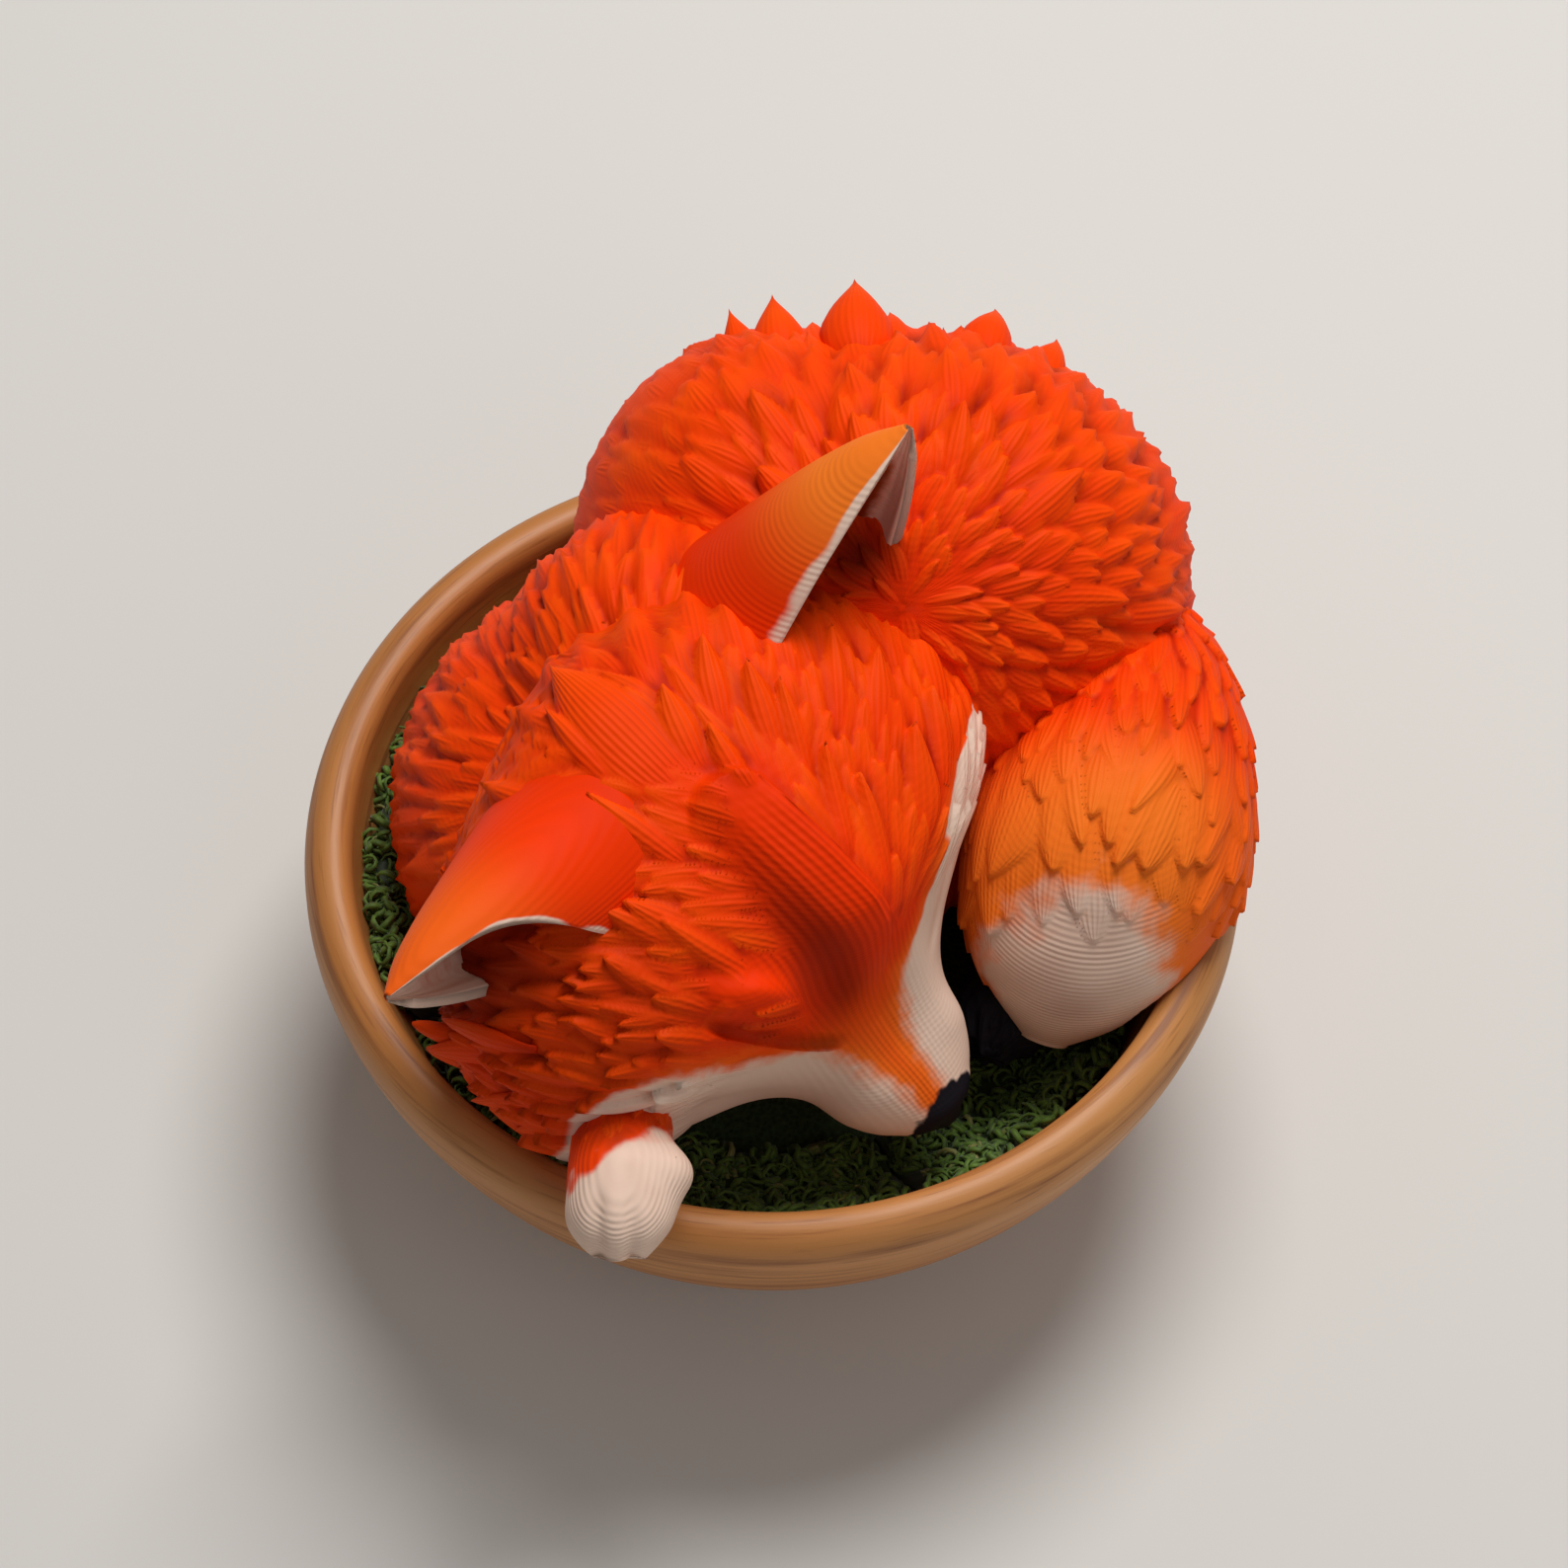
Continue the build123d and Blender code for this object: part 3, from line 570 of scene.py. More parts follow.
def on_masses(centre, ray, masses):
    """Where each ray from the centre leaves the furthest ellipsoid, softened where two meet."""
    reach = None
    for middle, half in masses:
        start, step = (centre - np.array(middle)) / half, ray / np.array(half)
        a, b = (step**2).sum(-1), (step * start).sum(-1)
        far = (-b + np.sqrt(np.maximum(b * b - a * ((start**2).sum() - 1), 0))) / a
        if reach is None:
            reach = far
        else:
            reach = np.maximum(reach, far) + np.maximum(3.0 - np.abs(reach - far), 0) ** 2 / 12
    return centre + ray * reach[..., None]


def rounded_mass(middle, crown, masses, rows, columns, bias):
    """Closed form round several ellipsoids, read along rays from its middle. Rows run from the crown to the
    far pole, closer together near the crown by the bias."""
    t = np.linspace(0.004, 0.996, rows)
    polar = (math.pi * (t - bias * np.sin(ROUND * t) / ROUND))[:, None, None]
    return confine(on_masses(np.array(middle), crown_rays(middle, crown, polar, turns(columns)[None, :, None]), masses))


def ring_locks(middle, crown, masses, rings, length, half_widths, lift, seed):
    """Main locks in rings round a crown, each pointing away from it: rows of root, tip and half width. The
    length is in degrees, as seen from the middle."""
    rng = np.random.default_rng(seed)
    rows = []
    for half, (from_crown, first, last, count) in zip(np.linspace(*half_widths, len(rings)), rings):
        polar = np.radians([from_crown, from_crown + length])[:, None]
        for turn in np.radians(np.linspace(first, last, count)):
            rays = crown_rays(middle, crown, polar, turn)
            ends = on_masses(np.array(middle), rays, masses) + rays * [[-0.6], [lift]]
            rows.append([*ends.ravel(), half * rng.uniform(0.85, 1.15)])
    return np.array(rows)


def head_form(rows, columns):
    """Egg-shaped sections carried along the head's own axis. Round a section the radius follows
    |cos|^e + |sin|^e = 1 with e 2.1, to its half width at the sides, up above its middle and down below. Each
    ring's points then lie at equal steps, with fewer of them underneath."""
    knots = np.array(HEAD)[:, 0]
    run = np.linspace(0, 1, rows)
    ahead = knots[0] + (knots[-1] - knots[0]) * (run + 0.035 * np.sin(ROUND * run))
    middle, half, up, down = through(ahead, knots, HEAD).T[1:, :, None]
    turn = np.linspace(-math.pi / 2, 1.5 * math.pi, 720, endpoint=False)[None]
    cosine, sine = np.cos(turn), np.sin(turn)
    radius = (np.abs(cosine) ** 2.1 + np.abs(sine) ** 2.1) ** (-1 / 2.1)
    grid = np.stack([
        np.repeat(ahead[:, None], 720, 1), np.maximum(half, 0.3) * cosine * radius,
        middle + np.where(sine > 0, up, down) * sine * radius,
    ], -1)
    out = np.empty((rows, columns, 3))
    for index, ring in enumerate(grid):
        ring = np.vstack([ring, ring[:1]])
        share = np.where((ring[1:, 2] + ring[:-1, 2]) / 2 > -8, 1.0, 0.42)
        run = np.concatenate([[0], np.cumsum(np.diff(runs(ring)) * share)])
        at = np.linspace(0, run[-1], columns, endpoint=False)
        out[index] = np.stack([np.interp(at, run, ring[:, axis]) for axis in range(3)], -1)
    return out


def tube_form(path, radii, rows, columns):
    """Round section carried along a smooth line through the path's points, with its radius run smoothly
    through the radii."""
    path = np.array(path, float)
    knots, t = runs(path), np.linspace(0, 1, rows)
    at = knots[-1] * (t + 0.05 * np.sin(ROUND * t))
    line = through(at, knots, path)
    radius = np.maximum(through(at, knots, np.array(radii)[:, None]), 0.15)
    along = unit(np.gradient(line, at, axis=0))
    side = unit(np.cross(along, [0, 0, 1.0]))
    turn = turns(columns)[None, :, None]
    ring = np.cos(turn) * side[:, None] + np.sin(turn) * np.cross(side, along)[:, None]
    return line[:, None] + ring * radius[:, None]


def ear_form(foot, tip, opens_to, half_width, half_depth, lips, rows, columns):
    """Pointed shell: each section is a C, an outer arc and an inner arc back, joined round two thin rims.
    The section shrinks to the tip by the ear's own table. Lips are the angles from the ear's back at which
    the C ends on its two sides, and at the foot the second one wraps round further by the third."""
    foot, tip = np.array(foot), np.array(tip)
    along = unit(tip - foot)
    opening = square_to(np.array(opens_to), along)
    t = np.linspace(0, 1, rows) ** 0.85
    table = ((1.16, 1.12), (0.99, 0.91), (0.80, 0.68), (0.56, 0.46), (0.32, 0.26), (0.05, 0.05))
    table = through(t, (0.0, 0.25, 0.5, 0.72, 0.88, 1.0), table)
    width, depth = half_width * table[:, :1], half_depth * table[:, 1:]
    wall = np.minimum(1.25, width * 0.4)
    wrap = lips[0] + lips[1] + lips[2] * (1 - ease(t, 0.15, 0.75))[:, None]
    share = np.linspace(0, 1, columns // 2)[None]
    out, back = -lips[0] + wrap * share, 0.06 - lips[0] + (wrap - 0.12) * share[:, ::-1]
    x = np.concatenate([width * np.sin(out), (width - wall) * np.sin(back)], 1)
    y = np.concatenate([-depth * np.cos(out), -(depth - wall) * np.cos(back) + wall * 0.25], 1)
    spine = foot + (tip - foot) * t[:, None]
    return spine[:, None] + x[..., None] * np.cross(along, opening) + y[..., None] * opening


# ---- fur ----

def scatter(grid, gaps, seed):
    """Places for locks in staggered rows. Gaps is a table of (place from 0 to 1 down the grid, gap along,
    gap across); a row lies one gap below the one before it, and its places lie one gap apart round it,
    each moved by a random quarter of a gap. Returns fractional rows and columns."""
    rng = np.random.default_rng(seed)
    steps = np.linalg.norm(np.diff(grid, axis=0), axis=2).mean(1)
    run = np.concatenate([[0], np.cumsum(steps)])
    ring_steps = np.linalg.norm(np.roll(grid, -1, 1) - grid, axis=2)
    rows, columns, at = [], [], 0.6
    while at < run[-1] - 0.5:
        row = np.interp(at, run, np.arange(len(run)))
        along, across = (table_at(row / (len(run) - 1), gaps, column) for column in (1, 2))
        ring = np.concatenate([[0], np.cumsum(ring_steps[int(row)])])
        count = max(int(round(ring[-1] / across)), 3)
        places = (np.arange(count) + rng.uniform(0, 1) + rng.uniform(-0.25, 0.25, count)) / count % 1
        rows.append(row + rng.uniform(-0.25, 0.25, count) * along / max(steps[int(row) - 1], 1e-3))
        columns.append(np.interp(places * ring[-1], ring, np.arange(grid.shape[1] + 1)))
        at += along
    return np.clip(np.concatenate(rows), 0, len(grid) - 1.01), np.concatenate(columns)


def comb(grid, flow, gaps, shape, seed):
    """Locks scattered over a grid: each starts on the surface and points along the flow, turned by a few
    degrees at random. Shape gives length, half width and rise for the roots."""
    row, column = scatter(grid, gaps, seed)
    rng = np.random.default_rng(seed + 1)
    root = sample(grid, row, column)
    normal = unit(sample(normals_of(grid), row, column))
    along = square_to(sample(flow, row, column), normal)
    along = unit(along + np.cross(normal, along) * rng.normal(0, 0.13, len(root))[:, None])
    length, half, rise = shape(root)
    change = rng.uniform(0.72, 1.3, (3, len(root)))
    full = bpy.context.scene.fox_print.lock_rise / MM / 1.25
    return {
        "root": root, "normal": normal, "along": along, "length": length * change[0],
        "half": half * change[1], "rise": rise * change[2] * full, "tone": rng.uniform(0, 1, len(root)),
        "bend": rng.normal(0, 0.5, len(root)),
    }


def join_locks(locks, table, middle, rise):
    """The locks with the main ones of a table added: rows of root, tip and half width."""
    table = np.array(table)
    root, run = table[:, 0:3], table[:, 3:6] - table[:, 0:3]
    length = np.linalg.norm(run, axis=1)
    along = run / length[:, None]
    tone = np.arange(len(table)) * 0.37 % 1
    main = {
        "root": root, "normal": square_to(root + run * 0.5 - middle, along), "along": along, "length": length,
        "half": table[:, 6], "rise": rise * (0.85 + 0.3 * tone), "tone": tone, "bend": 0.7 * tone - 0.35,
    }
    return {key: np.concatenate([locks[key], main[key]]) for key in locks}


def outline(x, point):
    """Half width of a leaf-shaped lock, as a share of its widest, from root 0 to tip 1."""
    body = 0.62 + 0.38 * np.sin(math.pi * np.minimum(x, 0.5))
    tip = (1 - np.clip((x - 0.5) / 0.5, 0, 1) ** 1.8) ** point
    return np.maximum(np.where(x < 0.5, body, tip), 1e-3)


def hair_width():
    return bpy.context.scene.fox_print.hair / MM


def lay_locks(points, locks, point):
    """Overlapping locks over a surface. In its own frame a lock rises from its root to its tip as x^0.8,
    is rounded across as (1 - (y / width)^2)^0.7, bends sideways as x^2, and ends at its leaf-shaped
    outline; the highest lock wins. Returns rise, lean towards the tip, reach along the lock, hair line
    number and the winning lock's number."""
    count, hair = len(points), hair_width()
    rise, reach, lines, owner, lean = *np.zeros((3, count)), np.full(count, -1), np.zeros((count, 3))
    for index in np.flatnonzero(locks["rise"] > 0.02):
        root, normal, along, length, half, height, tone, bend = (values[index] for values in locks.values())
        away = points - root
        x = away @ along / length
        rows = np.flatnonzero((x > 0) & (x < 1))
        away, x = away[rows], x[rows]
        y = away @ np.cross(normal, along) / half - bend * x * x
        width = outline(x, point)
        value = height * x**0.8 * np.clip(1 - (y / width) ** 2, 0, 1) ** 0.7
        won = (value > rise[rows]) & (np.abs(away @ normal) < 0.6 * length)
        chosen, x, y, value, width = rows[won], x[won], y[won], value[won], width[won]
        rise[chosen], reach[chosen], owner[chosen] = value, x, index
        lines[chosen] = y / width * half / hair + tone * 5
        lean[chosen] = along * (value * x**3 * 0.3)[:, None]
    return rise, lean, reach, lines, owner


def confine(points):
    """Keeps a form inside the space that the moss and the rim leave free: below the rim a point is drawn
    in towards the bowl's axis to the free radius at its height, and none is lower than the bed."""
    out = points.copy()
    out[..., 2] = height = np.maximum(out[..., 2], LAY_HEIGHT)
    free = np.where(height < ROOM[-1][0], table_at(height, ROOM) - 0.2, 90.0)
    out[..., :2] *= np.minimum(1, free / np.maximum(np.hypot(out[..., 0], out[..., 1]), 1e-6))[..., None]
    return out


def dress(points, reach, hollow_shade, lines, calm, paints):
    """Points with the fur's channels beside them."""
    channels = [reach, hollow_shade, lines, calm, *(paints.get(name, 0.0) for name in PAINTS)]
    channels = [np.broadcast_to(channel, points.shape[:-1]) for channel in channels]
    return np.concatenate([points, np.stack(channels, -1)], -1)


def coat(grid, locks, paints, drop, default_lines=0.0, relief=0.0, point=0.75, fine=0.4, wash_and_shade=0.0):
    """A furry surface part: the grid let down by drop, with its relief, and the locks raised on it. Painted shade lies
    in the hollows, where the coat lies lower than the mean of its neighbours, and on the bare coat beside the locks,
    and is nowhere weaker than the extra darkening that is passed in. Hair lines fade at a lock's edge, and off the
    locks they are as strong as fine says."""
    shape = grid.shape[:2]
    rise, lean, reach, lines, owner = lay_locks(grid.reshape(-1, 3), locks, point)
    rise, reach, lines, owner = (values.reshape(shape) for values in (rise, reach, lines, owner))
    raised = rise > 0.02
    lines = np.where(raised, lines, default_lines)
    steady = np.ones(shape, bool)
    for axis, step in ((0, -1), (0, 1), (1, -1), (1, 1)):
        steady &= (owner == np.roll(owner, step, axis)) & (np.abs(lines - np.roll(lines, step, axis)) < 1)
    calm = soften(steady.astype(float), 1) * steady * np.where(raised, 1.0, fine)
    # painted shade: where the coat lies lower than its neighbours, and on bare coat near the locks
    lowness = np.clip((soften(rise, 5) - rise) / 0.5, 0, 1)
    bare = ~raised * ease(soften(raised.astype(float), 4), 0.3, 0.9)
    hollow_shade = np.maximum(soften(np.maximum(lowness, bare * 0.8), 1), wash_and_shade)
    points = confine(grid + normals_of(grid) * (rise - drop + relief)[..., None] + lean.reshape(grid.shape))
    return shells(dress(points, reach * raised, hollow_shade, lines, calm, paints)[None])


def leaf_part(table, middle, point=0.8, paints_of=lambda points: {}):
    """Single large locks as closed leaf shells. The middle line runs from root to tip in a low arch away
    from the form's middle, the section is a lens whose width follows the leaf outline, and its sides droop.
    Table rows are root, tip, half width, thickness and arch."""
    table = np.array(table)[:, None, None]
    root, run = table[..., 0:3], table[..., 3:6] - table[..., 0:3]
    half, thick, arch = table[..., 6], table[..., 7], table[..., 8]
    along = unit(run)
    outwards = square_to(root + run / 2 - middle, along)
    x, turn = np.linspace(0, 1, 18)[None, :, None], turns(16)
    leaf = outline(np.minimum(x, 0.995), point) * (0.55 + 0.45 * ease(x, 0, 0.4))
    y = leaf * half * np.cos(turn)
    z = thick * np.sin(turn) * leaf**0.6 - 0.5 * thick * (np.cos(turn) * leaf) ** 2
    rise = z + arch * np.sin(math.pi * x**0.8) - 0.8 * (1 - x)
    points = root + run * x[..., None] + np.cross(outwards, along) * y[..., None] + outwards * rise[..., None]
    lines = np.cos(turn) * half / hair_width()
    # painted shade towards the leaf's root, where it meets the coat
    hollow_shade, calm = 0.5 * ease(0.35 - x, 0, 0.35), 0.5 * ease(x, 0.05, 0.2)
    return shells(dress(confine(points), x, hollow_shade, lines, calm, paints_of(points)))


# ---- the head ----

# the nose bridge: place ahead, its height and how far aside its line runs
RIDGE = ((-8, 0.0, 0.0), (-4, 0.5, 0.0), (2, 1.1, 0.5), (8, 1.9, 0.7), (12, 2.7, 0.8), (14.5, 2.6, 0.7),
         (16.5, 1.0, 0.2), (18.5, -0.5, -0.6), (21.5, -1.3, -0.8), (25, -1.0, -0.6), (29, -0.3, -0.2), (34, 0, 0))
# where orange gives way to cream: place ahead and how far aside
NEAR_EDGE = ((-25, 70.0), (0, 52.0), (8.7, 25.2), (10.8, 21.2), (13.8, 17.3), (16.7, 13.2), (19.9, 8.2),
             (23.6, 5.4), (26.4, 4.2), (29.4, 3.4), (32.1, 2.6), (35, 1.5))
FAR_EDGE = ((-25, 70.0), (0, 50.0), (6.5, 26.0), (9.4, 18.6), (12.3, 14.0), (15.3, 10.2), (17.5, 7.0),
            (19.1, 3.8), (21.7, 1.7), (27, 0.6), (30.5, 0.5), (35, 0.5))
# the bald shield round the ridge: place ahead and how far aside
SHIELD = ((-9, -1.0), (-5, 0.5), (0, 5.0), (8, 7.0), (16, 8.0), (35, 12.0))


def eye_lines(ahead, aside):
    """The closed eye's own frame: places along and below its middle, the line of its lid as an arch, and how
    much of the lid's crease is there."""
    apart = np.abs(aside - 0.6)
    along = (ahead - 11.3) * 0.755 - (apart - 12.2) * 0.656
    below = (ahead - 11.3) * 0.656 + (apart - 12.2) * 0.755
    window = ease(8.6 - np.abs(along - 3.6), 0, 2.6) * np.where(aside < 0, 1.0, 0.3)
    return along, below, 2.9 - 0.011 * along**2, window


def face_relief(ahead, aside):
    """Height of the face's forms over the egg-shaped head, at a distance ahead and aside: a roof-shaped
    ridge between the eyes, hollows at the eyes' inner corners, and closed eyes as rounded bulges with a
    crease and a rim along the lower lid."""
    height, line = table_at(ahead, RIDGE), table_at(ahead, RIDGE, 2)
    half = np.interp(ahead, [-6, 6, 14, 20, 30], [5.0, 8.0, 8.5, 6.0, 4.0])
    ridge = height * np.clip(1 - np.abs(aside - line) / half, 0, 1) ** 1.15
    # the ridge's upper face is a long blade with a step down on its far side and at its rounded upper end
    upper_end = -6.2 + 0.16 * (aside + 2.6) ** 2
    blade = ease(line + 1.5 - aside, -0.1, 0.35) * ease(ahead - upper_end, -0.1, 0.6)
    blade = blade * ease(aside + 7.2, 0, 4.5) * ease(21 - ahead, 0, 6)
    near = np.where(aside < 0, 1.0, 0.3)
    corner = near * hump((ahead - 15.8) / 3.4, (np.abs(aside - 0.6) - 6.0) / 2.4)
    along, below, lid, window = eye_lines(ahead, aside)
    eye = near * np.exp(-(((along / 4.6) ** 2 + ((below - 0.6) / 2.2) ** 2) ** 1.5))
    crease, fold = window * hump((below - lid) / 0.5), window * hump((below - lid - 1.05) / 0.6)
    return ridge + 1.8 * blade - 1.9 * corner + 1.8 * eye - 0.95 * crease + 0.75 * fold


def muzzle_relief(ahead, aside, above):
    """Swelling of the whisker pads and the near jaw, out along the surface, and the dents of the mouth line
    and the nostrils."""
    apart = np.abs(aside)
    pads = 0.9 * hump((ahead - 27.0) / 4.2, (apart - 6.0) / 2.6)
    mouth = -8.6 + 0.018 * (ahead - 24) ** 2
    line = 0.55 * hump((above - mouth) / 0.45) * ease(ahead, 15, 19) * ease(apart, 2.2, 3.5)
    nostril = 0.7 * hump((ahead - 33.6) / 0.8, (apart - 1.5) / 0.6, (above + 5.2) / 0.9)
    jaw = 2.6 * hump((ahead - 13.5) / 5.0) * ease(-above, 3, 8) * ease(-aside, 3, 9)
    return pads - line - nostril + jaw


def head_paints(local):
    """Where the head's paints lie, from places in the head's own frame: orange between the near and the far edge on the
    upper side, cream beyond them, amber towards the nose, a black nose, and painted shade by the ridge, in the eye's
    crease, on the near cheek and under the near ear."""
    ahead, aside, above = np.moveaxis(local, -1, 0)
    inside = np.minimum(aside + table_at(ahead, NEAR_EDGE), table_at(ahead, FAR_EDGE) - aside)
    inside = inside + 0.4 * waves(local, 4.0, 5)
    blur = 0.8 + 2.2 * ease(ahead, 16, 23) + 1.1 * ease(-aside, 4, 8) * ease(ahead, 4, 10)
    cream = (1 - ease(inside / blur, -0.9, 1.0)) * (1 - ease(-aside, 27.2, 28.4))
    under = ease(-above, 8.0, 10.5) * ease(ahead, -8, -2)
    glow = 0.45 * ease(ahead, 15.5, 24) + 0.4 * hump(inside / 1.8) * ease(ahead, 6, 14)
    black = ease(ahead - 0.09 * aside**2 + 0.35 * waves(local, 1.6, 8), 30.4, 31.6)
    # painted shade follows the near slope of the ridge down to the inner corner of the closed eye
    off = aside + 5.2 - 0.12 * (ahead - 7.5)
    slope = hump(off / 2.5) * ease(ahead, -2, 13) * ease(21.0 - ahead, 0, 4)
    _, below, lid, window = eye_lines(ahead, aside)
    rim = hump((aside - table_at(ahead, RIDGE, 2) - 1.9) / 0.6) * ease(ahead, -5, 0) * ease(16 - ahead, 0, 6)
    cheek = ease(-aside, 12, 20) * ease(13 - ahead, 0, 6)
    # the near ear opens over the cheek, which gets a painted shadow there
    at_ear = hump((ahead + 7.0) / 5.5, (aside + 25.5) / 6.0) * ease(11 - above, 0, 4)
    # painted shade by the ridge, in the lid's crease, on the near cheek and under the near ear
    deep = (0.6 * slope, 0.42 * window * hump((below - lid) / 0.6), 0.25 * rim, 0.24 * cheek, 0.8 * at_ear)
    return {
        "cream": np.maximum(cream, under), "soot": black, "glow": np.clip(glow, 0, 1),
        "deep": np.maximum.reduce(deep),
    }


def lobe_paints(points):
    """Paints of the cheek's free lobes: orange nearly to their tips, whatever lies behind them."""
    paints = head_paints(to_head(points))
    return {**paints, "cream": 0.35 * paints["cream"]}


def head_shape(root):
    """Lengths, half widths and rises of the head's locks: narrow strands on top, broad lobes on the
    cheeks, and none on the eyes, the ridge, the muzzle and the far ear's foot."""
    ahead, aside, above = to_head(root).T
    cheek = ease(-aside, 12, 18)
    bare = ease(ahead, 15.0, 18.5) * ease(19 - np.abs(aside), 0, 3)
    apart = np.abs(aside - 0.6)
    eye = np.exp(-((((ahead - 11.3) / 4.6) ** 2 + ((apart - 11.8) / 4.6) ** 2) ** 2))
    shield = ease(table_at(ahead, SHIELD) - apart, -0.5, 1.0) * (aside < 2.2)
    keep = (1 - ease(bare, 0.2, 0.6)) * (1 - ease(eye, 0.25, 0.6)) * (1 - shield)
    keep = np.where(keep > 0.4, keep, 0) * ease(distance(root, FAR_EAR[0]), 8, 12)
    return 6.6 + 0.9 * cheek, 0.9 + 0.45 * cheek, (0.5 + 1.0 * cheek) * keep


class FIGURINE_OT_head(bpy.types.Operator):
    """Makes the fox's head with its closed eyes, ridge, muzzle, nose and cheek fur"""
    bl_idname = "figurine.head"
    bl_label = "Head"

    def execute(self, context):
        local = head_form(210, 372)
        ahead, aside, above = np.moveaxis(local, -1, 0)
        local[..., 2] += face_relief(ahead, aside) * ease(above, -7, -2)
        grid = from_head(local)
        ways = [-np.ones_like(ahead), 1.02 * np.tanh(aside / 4.5), -0.25 * ease(np.abs(aside), 18, 28)]
        locks = comb(grid, np.stack(ways, -1) @ HEAD_AXES, ((0, 2.3, 1.9), (0.35, 2.3, 1.9), (1, 2.3, 2.0)),
                     head_shape, 11)
        main = head_table(HEAD_LOCKS)
        locks = join_locks(locks, main, HEAD_ORIGIN, 1.35)
        locks = join_locks(locks, main[:1], HEAD_ORIGIN, 1.9)
        lines = aside * (1.35 + 0.05 * np.maximum(ahead - 16, 0)) - 0.09 * ahead
        face = ease(ahead, -3, 3) * ease(9.5 - np.abs(aside + 1.5), 0, 3) * ease(33 - ahead, 0, 4)
        paints = head_paints(local)
        fine = 0.12 + 1.1 * face * (1 - 0.85 * paints["cream"])
        part = coat(grid, locks, paints, 0.3, lines, muzzle_relief(ahead, aside, above), 0.7, fine)
        lobes = leaf_part(head_table(CHEEK_LOBES), HEAD_ORIGIN, paints_of=lobe_paints)
        return fur_piece("head_coat", "fox_head", part, lobes)


# ---- the body, the tail, the paws and the ears ----

def body_shape(root):
    """Locks of the back: short at the crown, broad on the haunch, and long, narrow and flat on the
    shoulder at the left."""
    grown = ease(distance(root, BODY_CROWN), 3, 24)
    shoulder = ease(4 - root[:, 0], -6, 10)
    length = 3.6 + 3.4 * grown + 2.3 * shoulder
    return length, 0.75 + 1.0 * grown * (1 - 0.5 * shoulder), (0.45 + 0.85 * grown) * (1 - 0.75 * shoulder)


class FIGURINE_OT_body(bpy.types.Operator):
    """Makes the curled back and the haunch, with fur that spreads from the crown behind the far ear"""
    bl_idname = "figurine.body"
    bl_label = "Back and haunch"

    def execute(self, context):
        grid = rounded_mass(BODY_MIDDLE, BODY_CROWN, (BACK, FLANK, BELLY), 212, 380, 0.45)
        gaps = ((0, 1.5, 1.3), (0.12, 1.9, 1.7), (0.35, 2.5, 2.5), (1, 2.9, 2.8))
        locks = comb(grid, grid - BODY_CROWN, gaps, body_shape, 21)
        main = ring_locks(BODY_MIDDLE, BODY_CROWN, (BACK, FLANK), BODY_RINGS, 17.0, (1.8, 2.3), 1.0, 23)
        smooth = ease(4 - main[:, 0], -4, 12) * ease(main[:, 2], 46, 54)
        locks = join_locks(locks, main, BODY_MIDDLE, 1.8 * (1 - 0.75 * smooth))
        # painted shadow on the back under the far ear
        shade = {"deep": 0.8 * hump(distance(grid, EAR_SHADE) / 3.4)}
        part = coat(grid, locks, shade, 0.7, np.linspace(0, 90, 380)[None], point=0.6)
        return fur_piece("back_coat", "fox_body", part, leaf_part(BACK_SPIKES, BODY_MIDDLE, point=1.7))


def ruff_shape(root):
    """Long narrow locks on the shoulder and the neck."""
    grown = ease(distance(root, RUFF_CROWN), 6, 24)
    return 7.0 + 2.6 * grown, 0.9 + 0.25 * grown, 0.65 + 0.35 * grown


class FIGURINE_OT_ruff(bpy.types.Operator):
    """Makes the shoulder and neck fur that spreads away from the head"""
    bl_idname = "figurine.ruff"
    bl_label = "Shoulder and neck"

    def execute(self, context):
        grid = rounded_mass(RUFF_MIDDLE, RUFF_CROWN, (RUFF, NECK), 210, 350, 0.3)
        locks = comb(grid, grid - RUFF_CROWN, ((0, 2.2, 1.7), (0.4, 2.5, 2.0), (1, 2.8, 2.3)), ruff_shape, 31)
        main = ring_locks(RUFF_MIDDLE, RUFF_CROWN, (RUFF, NECK), RUFF_RINGS, 27.0, (1.1, 1.5), 0.9, 33)
        locks = join_locks(locks, main, RUFF_MIDDLE, 1.25)
        return fur_piece("ruff_coat", "fox_ruff", coat(grid, locks, {}, 0.7, np.linspace(0, 110, 350)[None]))


def tail_shape(root):
    """Locks of the tail: shallow long strands near the haunch, broad leaves in the middle and on the outer
    side, and none on the smooth cream end."""
    x, y, _ = root.T
    grown = ease(4 - y, 0, 8)
    rise = (0.3 + 0.35 * grown + 0.3 * ease(x, 32, 38)) * (1 - ease(-y, 5.5, 9.5))
    return 6.5 + 2.0 * grown, 1.2 + 1.1 * grown, rise


